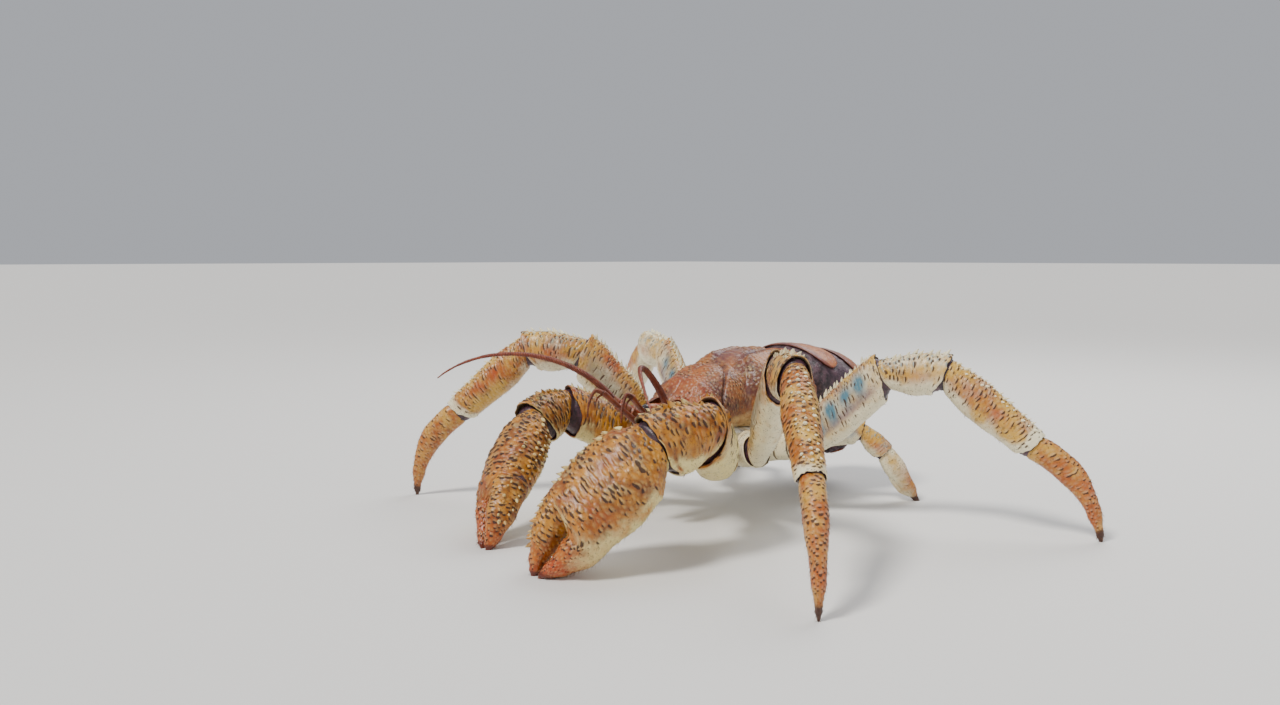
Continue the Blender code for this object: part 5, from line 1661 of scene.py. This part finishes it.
# Face parts on the left. Rings: a joint's swelling, pinch and width, or a lash's number and height of rings
face = dict(
    eyePlace=(0.0098, 0.1135), eyeWay=(20, -4), eyeLength=0.019, eyeRadius=0.0062, eyeFlat=0.78, eyeDeep=1.25,
    eyeFit=0.985, eyeRows=42, eyeAround=56,
    stalk=((-0.5, 0.8), (0.3, 0.84), (0.75, 0.98), (1, 1.0), (1.03, 0.86)),
    antennule=(
        (0.0078, -0.07, 0.1), (0.0105, -0.088, 0.0975), (0.0125, -0.104, 0.101),
        (0.016, -0.124, 0.118), (0.02, -0.141, 0.133),
    ),
    antennuleRadii=((0, 0.0044), (0.25, 0.0036), (0.5, 0.0032), (0.75, 0.0024), (1, 0.0028)),
    antennuleJoints=(0.26, 0.52), antennuleRings=(0.16, 0.3, 0.012),
    drop=((0.0218, -0.149, 0.135), (0.0232, -0.155, 0.125), (0.0238, -0.157, 0.111)),
    dropRings=(190, 0.09), dropRadius=(0.0024, 0.0017), spurRadius=(0.0013, 0.0003),
    spur=((0, 0.001, -0.001), (0.001, -0.006, -0.005), (0.0015, -0.0085, -0.013)),
    antenna=(
        (0.0245, -0.07, 0.102), (0.0275, -0.08, 0.1025), (0.031, -0.092, 0.1065),
        (0.035, -0.104, 0.114), (0.0385, -0.113, 0.123),
    ),
    antennaRadii=((0, 0.0082), (0.25, 0.0088), (0.5, 0.0074), (0.75, 0.0066), (1, 0.0044)),
    antennaJoints=(0.3, 0.62, 0.86), antennaRings=(0.12, 0.2, 0.016),
    scale=((0.005, 0.0, 0.004), (0.008, -0.009, 0.008), (0.009, -0.019, 0.0105)), scaleRoot=40,
    scaleRadius=(0.0036, 0.0003), whipLength=0.19, whipAzimuth=(20, 62), whipPitch=(48, -34), whipSteps=21,
    whipRings=(130, 0.1), whipRadius=(0.003, 0.0005),
    mouthLeg=(
        (0.012, -0.0656, 0.09), (0.0125, -0.0725, 0.075), (0.0135, -0.086, 0.067),
        (0.0125, -0.095, 0.069), (0.01, -0.1, 0.06), (0.008, -0.096, 0.048),
    ),
    mouthRadii=((0, 0.0066), (0.35, 0.0066), (0.5, 0.0052), (0.7, 0.0056), (1, 0.0018)),
    mouthJoints=(0.3, 0.46, 0.66, 0.86), mouthRings=(0.12, 0.26, 0.013),
    innerJoints=(0.3, 0.5, 0.7), innerRings=(0.12, 0.26, 0.015), innerShown=150,
    innerPairs=((0.55, 0.006, 0.8), (0.28, 0.011, 0.62)), innerStep=-0.001,
    mouthHairs=900, hairLengths=(0.003, 0.0075), hairRadius=0.00014,
)
# Horny rods: rows, columns, sideways reference, flatness and the seed of their noise
rods = dict(
    eyestalk=(74, 44, (0, 0, 1), face["eyeFlat"], 91), antennule=(170, 30, (1, 0, 0), 1.0, 93),
    drop=(200, 18, (1, 0, 0), 1.0, 94), spur=(60, 12, (1, 0, 0), 1.0, 95),
    antenna=(160, 46, (0, 0, 1), 0.9, 96), scale=(50, 22, (0, 0, 1), 0.6, 97),
    whip=(900, 14, (0, 0, 1), 1.0, 98), mouthLeg=(180, 36, (1, 0, 0), 0.85, 99),
    inner=(180, 26, (1, 0, 0), 0.8, 101),
)
rodNoise = (0.004, 0.0006)


# A rod's way through its points, mirrored to its side and moved to its start, and the share along it
def wayOf(kind, points, side=1, start=0):
    way = wayThrough(np.array(points) * (side, 1, 1) + start, rods[kind][0])
    return way, np.linspace(0, 1, len(way))


# Joint rings: a bell's swelling just before each joint and a narrower bell's pinch at it
def jointRings(t, kind):
    swelling, pinch, width = face[kind + "Rings"]
    swollen = sum(bell(t - at + 2.2 * width, 1.6 * width) for at in face[kind + "Joints"])
    pinched = sum(bell(t - at, width) for at in face[kind + "Joints"])
    return 1 + swelling * swollen - pinch * pinched


# One horny rod: a tube swept along its way, made uneven by noise
def rodPart(kind, way, radius, step=0, **marks):
    _, around, reference, flat, seed = rods[kind]
    p = sweep(way, radius, around, reference, flat)
    return tubePart(pushed(p, gridNormals(p), swelling(p, rodNoise, seed + step, 3)[1]), **marks)


# A piece of horny rods in place of a node
def placeRods(name, rodParts, node):
    place(name, joined(rodParts), "feelerShell", (node,))


# An eyestalk, a flattened thickening rod, and the eye, an ellipsoid by its latitude's cosine and sine
def eyePieces(side):
    name, r = sideNames[side], face["eyeRadius"]
    forward = heading(*face["eyeWay"], side)
    start = np.array((side * face["eyePlace"][0], frontY, face["eyePlace"][1]))
    t = np.linspace(-0.45, 1.03, rods["eyestalk"][0])
    way = start + forward * (face["eyeLength"] * t)[:, None]
    bands = 0.35 + 0.3 * np.cos(t * 9)[:, None]
    rod = rodPart("eyestalk", way, r * eased(t, face["stalk"]), pale=bands, warm=0.3)
    placeRods(f"eyestalk_{name}_shell", [rod], f"eyestalk_{name}")
    root = start + forward * (face["eyeLength"] + build["gap"])
    angle = np.linspace(-0.3, 0.5 * math.pi, face["eyeRows"])
    centre = root + forward * (face["eyeDeep"] * r * np.sin(angle))[:, None]
    a = columns(face["eyeAround"])
    across = unit(np.cross(forward, up))
    over = np.cross(across, forward)
    wide = (face["eyeFit"] * r * np.cos(angle))[:, None]
    high = face["eyeFlat"] * wide
    p = centre[:, None] + (wide * np.cos(a))[..., None] * across + (high * np.sin(a))[..., None] * over
    place(f"eye_{name}_cornea", tubePart(p), "eyeCornea", (f"eye_{name}",))


# An antennule: a rod of three joints, and at its end a hanging ringed lash and a short spur
def antennulePieces(side):
    name = sideNames[side]
    way, t = wayOf("antennule", face["antennule"], side)
    radius = eased(t, face["antennuleRadii"]) * jointRings(t, "antennule")
    rod = rodPart("antennule", way, radius, pale=0.2, spot=0.5 * bell(t - 0.53, 0.03)[:, None])
    placeRods(f"antennule_{name}_rod", [rod], f"antennule_{name}")
    drop, t = wayOf("drop", np.concatenate((way[-1:], np.array(face["drop"]) * (side, 1, 1))))
    (turns, ringHeight), (thick, taper) = face["dropRings"], face["dropRadius"]
    rings = np.sin(t * turns)
    radius = (thick - taper * t) * (1 + ringHeight * rings)
    lash = rodPart("drop", drop, radius, spot=0.35 + 0.35 * rings[:, None])
    spurWay, t = wayOf("spur", face["spur"], side, way[-1])
    spur = rodPart("spur", spurWay, np.linspace(*face["spurRadius"], len(t)), spot=0.3)
    placeRods(f"antennule_{name}_lash", [lash, spur], f"antennule_{name}_flagellum")


# An antenna: a jointed base with a flat scale at its side, and the long lash, turning by equal steps
def antennaPieces(side):
    name = sideNames[side]
    base, t = wayOf("antenna", face["antenna"], side)
    radius = eased(t, face["antennaRadii"]) * jointRings(t, "antenna")
    seams = sum(bell(t - at - 0.01, 0.02) for at in face["antennaJoints"])[:, None]
    warm = 0.4 * bell(t - 0.45, 0.1)[:, None]
    rod = rodPart("antenna", base, radius, pale=0.35, warm=warm, spot=0.5 * seams)
    scaleWay, t = wayOf("scale", face["scale"], side, base[face["scaleRoot"]])
    thick, thin = face["scaleRadius"]
    scale = rodPart("scale", scaleWay, thick * (1 - t) ** 0.7 + thin, pale=0.3, tip=ease(0.6, 1, t)[:, None])
    placeRods(f"antenna_{name}_joints", [rod, scale], f"antenna_{name}_base")
    steps = face["whipSteps"]
    azimuths, pitches = np.linspace(*face["whipAzimuth"], steps), np.linspace(*face["whipPitch"], steps)
    ways = [heading(azimuth, pitch, side) for azimuth, pitch in zip(azimuths, pitches)]
    knots = base[-1] + np.concatenate((np.zeros((1, 3)), np.cumsum(ways, 0))) * face["whipLength"] / steps
    whip, t = wayOf("whip", np.concatenate((base[-8:-7], knots)))
    (turns, ringHeight), (thick, thin) = face["whipRings"], face["whipRadius"]
    rings = np.sin(t * turn * turns)
    radius = (thick * (1 - t) ** 0.8 + thin) * (1 + ringHeight * rings)
    lash = rodPart("whip", whip, radius, spot=0.3 + 0.35 * rings[:, None], warm=0.3)
    placeRods(f"antenna_{name}_lash", [lash], f"antenna_{name}_whip")


# A jointed outer mouth leg, two shorter inner ones, and the hairs round the outer one, leaning along and down
def mouthPieces(side):
    name, points = sideNames[side], np.array(face["mouthLeg"])
    way, t = wayOf("mouthLeg", points, side)
    girth = eased(t, face["mouthRadii"])
    radius = girth * jointRings(t, "mouth")
    stripes = 0.55 * ease(0.1, 0.7, np.sin(t * 30))[:, None]
    dark = 0.35 * stripes + 0.4 * ease(0.7, 1.0, t)[:, None]
    parts = [rodPart("mouthLeg", way, radius, pale=0.45, spot=dark)]
    shown = slice(0, face["innerShown"])
    innerGirth = girth[shown] * jointRings(t[shown], "inner")
    innerDark = 0.55 + 0.3 * stripes[shown]
    for step, (inward, back, size) in enumerate(face["innerPairs"]):
        inner, _ = wayOf("inner", points * (inward, 1, 1), side, (0, back, face["innerStep"] * step))
        parts.append(rodPart("inner", inner[shown], size * innerGirth, step, pale=0.15, spot=innerDark))
    place(f"mouth_leg_{name}", joined(parts), "mouthLegs", (f"maxilliped_{name}",))
    draw = np.random.default_rng(70 + side)
    count, rows = face["mouthHairs"], len(t)
    at = draw.integers(rows // 4, rows - 2, count)
    around = draw.uniform(0, turn, count)
    tangent = unit(np.gradient(way, axis=0))[at]
    across = unit(np.cross(tangent, (1.0, 0, 0)))
    outward = np.cos(around)[:, None] * across + np.sin(around)[:, None] * np.cross(across, tangent)
    root = way[at] + outward * radius[at][:, None] * 0.9
    lean = outward * 0.6 + tangent * 0.8 + draw.normal(0, 0.18, (count, 3))
    bent = np.array((0, 0, -0.35)) + 0 * root
    length = draw.uniform(*face["hairLengths"], count)
    uv = np.stack((t[at], around / turn), 1)
    return spikePart(root, lean, bent, length, face["hairRadius"], 3, 3, 0.25), uv


# The eye: very dark red under a clear coat, with facets a little lighter at their middles
eyeShine = {"Roughness": 0.16, "Coat Weight": 1.0, "Coat Roughness": 0.05}
finishes["eyeCornea"], tree, shader = newMaterial("eyeCornea", eyeShine)
facets = spread(tree, cellsOf(tree, objectPlace(tree), 2600.0), 0.1, 0.6)
feed(tree, shader.inputs["Base Color"], blendOf(tree, facets, rgb(52, 14, 12), rgb(14, 6, 8)))

# Bristles: brown at the root, straw-coloured at the tip
finishes["bristles"], tree, shader = newMaterial("bristles", {"Roughness": 0.5})
straw = blendOf(tree, markOf(tree, "tip"), rgb(70, 36, 20), rgb(150, 96, 52))
feed(tree, shader.inputs["Base Color"], straw)
for side in (1, -1):
    eyePieces(side)
    antennulePieces(side)
    antennaPieces(side)
    coats["mouth"].append(mouthPieces(side))
print("face")


sheet = dict(patch=0.003, margin=0.004)


# A coat of bristles with its UV map: a square tile of the sheet for each tuft, and in it each bristle's small
# patch at its root's place on the shell
def placeCoat(name, tufts):
    obj = place(name, joined([part for part, _ in tufts]), "bristles")
    tiles = math.ceil(math.sqrt(len(tufts)))
    uvs = []
    for n, (part, uv) in enumerate(tufts):
        per = len(part["v"]) // len(uv)
        corner = np.array((n % tiles, n // tiles)) / tiles
        number = np.arange(per)
        shape = sheet["patch"] * np.stack((number / per, np.mod(number * 0.37, 1.0)), 1)
        uvs.append((corner + uv[:, None] * (1 / tiles - sheet["margin"]) + shape[None]).reshape(-1, 2))
    uvs = np.concatenate(uvs)
    layer = obj.data.uv_layers.new(name="OFBake")
    corners = np.empty(len(obj.data.loops), np.int32)
    obj.data.loops.foreach_get("vertex_index", corners)
    layer.data.foreach_set("uv", uvs[corners].astype(np.float32).ravel())


# Short bristles on the back lean to the rear
def backBristles(grid, count, height, seed):
    lean, bent = np.array((0, 0.8, -0.1)), np.array((0, 0.3, -0.1))
    return bristlesOn(grid, backCoat, count, height, lean, bent, seed)


placeCoat("claw_bristles", coats["claw"])
placeCoat("leg_bristles", coats["leg"])
placeCoat("mouth_bristles", coats["mouth"])
coats["back"] = [backBristles(carapaceGrid, *backCoat["carapace"], 17)]
coats["back"] += [backBristles(grid, *backCoat["plate"], 18 + n) for n, (_, grid) in enumerate(plates)]
placeCoat("carapace_bristles", coats["back"])
print("bristles")


# Floor, light and camera at the photograph's viewing angle. shiftTo is the pixel where the target lies
view = dict(
    azimuth=45, elevation=10, distance=1.0, fieldOfView=65, target=(0.0, -0.02, 0.085),
    frame=(1280, 705), shiftTo=(684, 434),
)
studio = dict(
    sun=3.3, sunAngle=13, sunColour=(1.0, 0.97, 0.92), world=0.5, worldColour=(0.9, 0.93, 1.0, 1),
    floorSize=40, floorColour=(0.74, 0.73, 0.71, 1), floorRoughness=0.85, aimHeight=0.08,
    sunFrom=(0.55, -0.75, 1.25),
)
# Square lamps: metres towards the camera, sideways and up, then watts, size and colour
lamps = dict(
    fill=((1.3, 1.4, 0.7), 7, 1.4, (0.94, 0.97, 1.0)),
    rim=((-0.9, 0.6, 1.6), 20, 1.2, (1, 1, 1)),
)
aim = heading(view["azimuth"], 0)
sideways = np.array((-aim[1], aim[0], 0))


# Towards the camera, sideways and up by so many metres each
def spotOf(ahead, aside, above):
    return aim * ahead + sideways * aside + up * above


# Turned so that its own -Z axis looks along a direction
def lookAlong(obj, direction):
    obj.rotation_euler = Vector(direction).to_track_quat("-Z", "Y").to_euler()


# A square lamp, looking at the middle of the crab
def addLight(name, metres, power, size, colour):
    light = bpy.data.lights.new(name, "AREA")
    light.energy, light.size, light.color = power, size, colour
    obj, spot = newObject(name, light), spotOf(*metres)
    obj.location = spot
    lookAlong(obj, (0, 0, studio["aimHeight"]) - spot)


# A flat pale floor
def addFloor():
    half = studio["floorSize"]
    corners = [(-half, -half, 0), (half, -half, 0), (half, half, 0), (-half, half, 0)]
    mesh = bpy.data.meshes.new("floor")
    mesh.from_pydata(corners, [], [(0, 1, 2, 3)])
    colour, rough = studio["floorColour"], studio["floorRoughness"]
    mesh.materials.append(newMaterial("paleFloor", {"Base Color": colour, "Roughness": rough})[0])
    newObject("floor", mesh)


# The photograph's azimuth and elevation, the lens shifted so that the crab keeps its place in the frame
def addCamera():
    camera = bpy.data.cameras.new("photoCamera")
    camera.sensor_fit = "HORIZONTAL"
    camera.angle = math.radians(view["fieldOfView"])
    camera.clip_start = 0.01
    width, height = view["frame"]
    camera.shift_x = (width / 2 - view["shiftTo"][0]) / width
    camera.shift_y = (view["shiftTo"][1] - height / 2) / width
    obj = newObject("photoCamera", camera)
    toCrab = heading(view["azimuth"], view["elevation"]) * view["distance"]
    obj.location = np.array(view["target"]) + toCrab
    lookAlong(obj, -toCrab)
    bpy.context.scene.camera = obj


addFloor()
world = bpy.context.scene.world or bpy.data.worlds.new("studio")
bpy.context.scene.world = world
world.use_nodes = True
background = world.node_tree.nodes["Background"]
background.inputs["Color"].default_value = studio["worldColour"]
background.inputs["Strength"].default_value = studio["world"]
sun = bpy.data.lights.new("softSun", "SUN")
sun.energy, sun.angle, sun.color = studio["sun"], math.radians(studio["sunAngle"]), studio["sunColour"]
lookAlong(newObject("softSun", sun), -spotOf(*studio["sunFrom"]))
for name, lamp in lamps.items():
    addLight(name, *lamp)
addCamera()

print("triangles", sum(len(p.vertices) - 2 for obj in pieces.values() for p in obj.data.polygons))
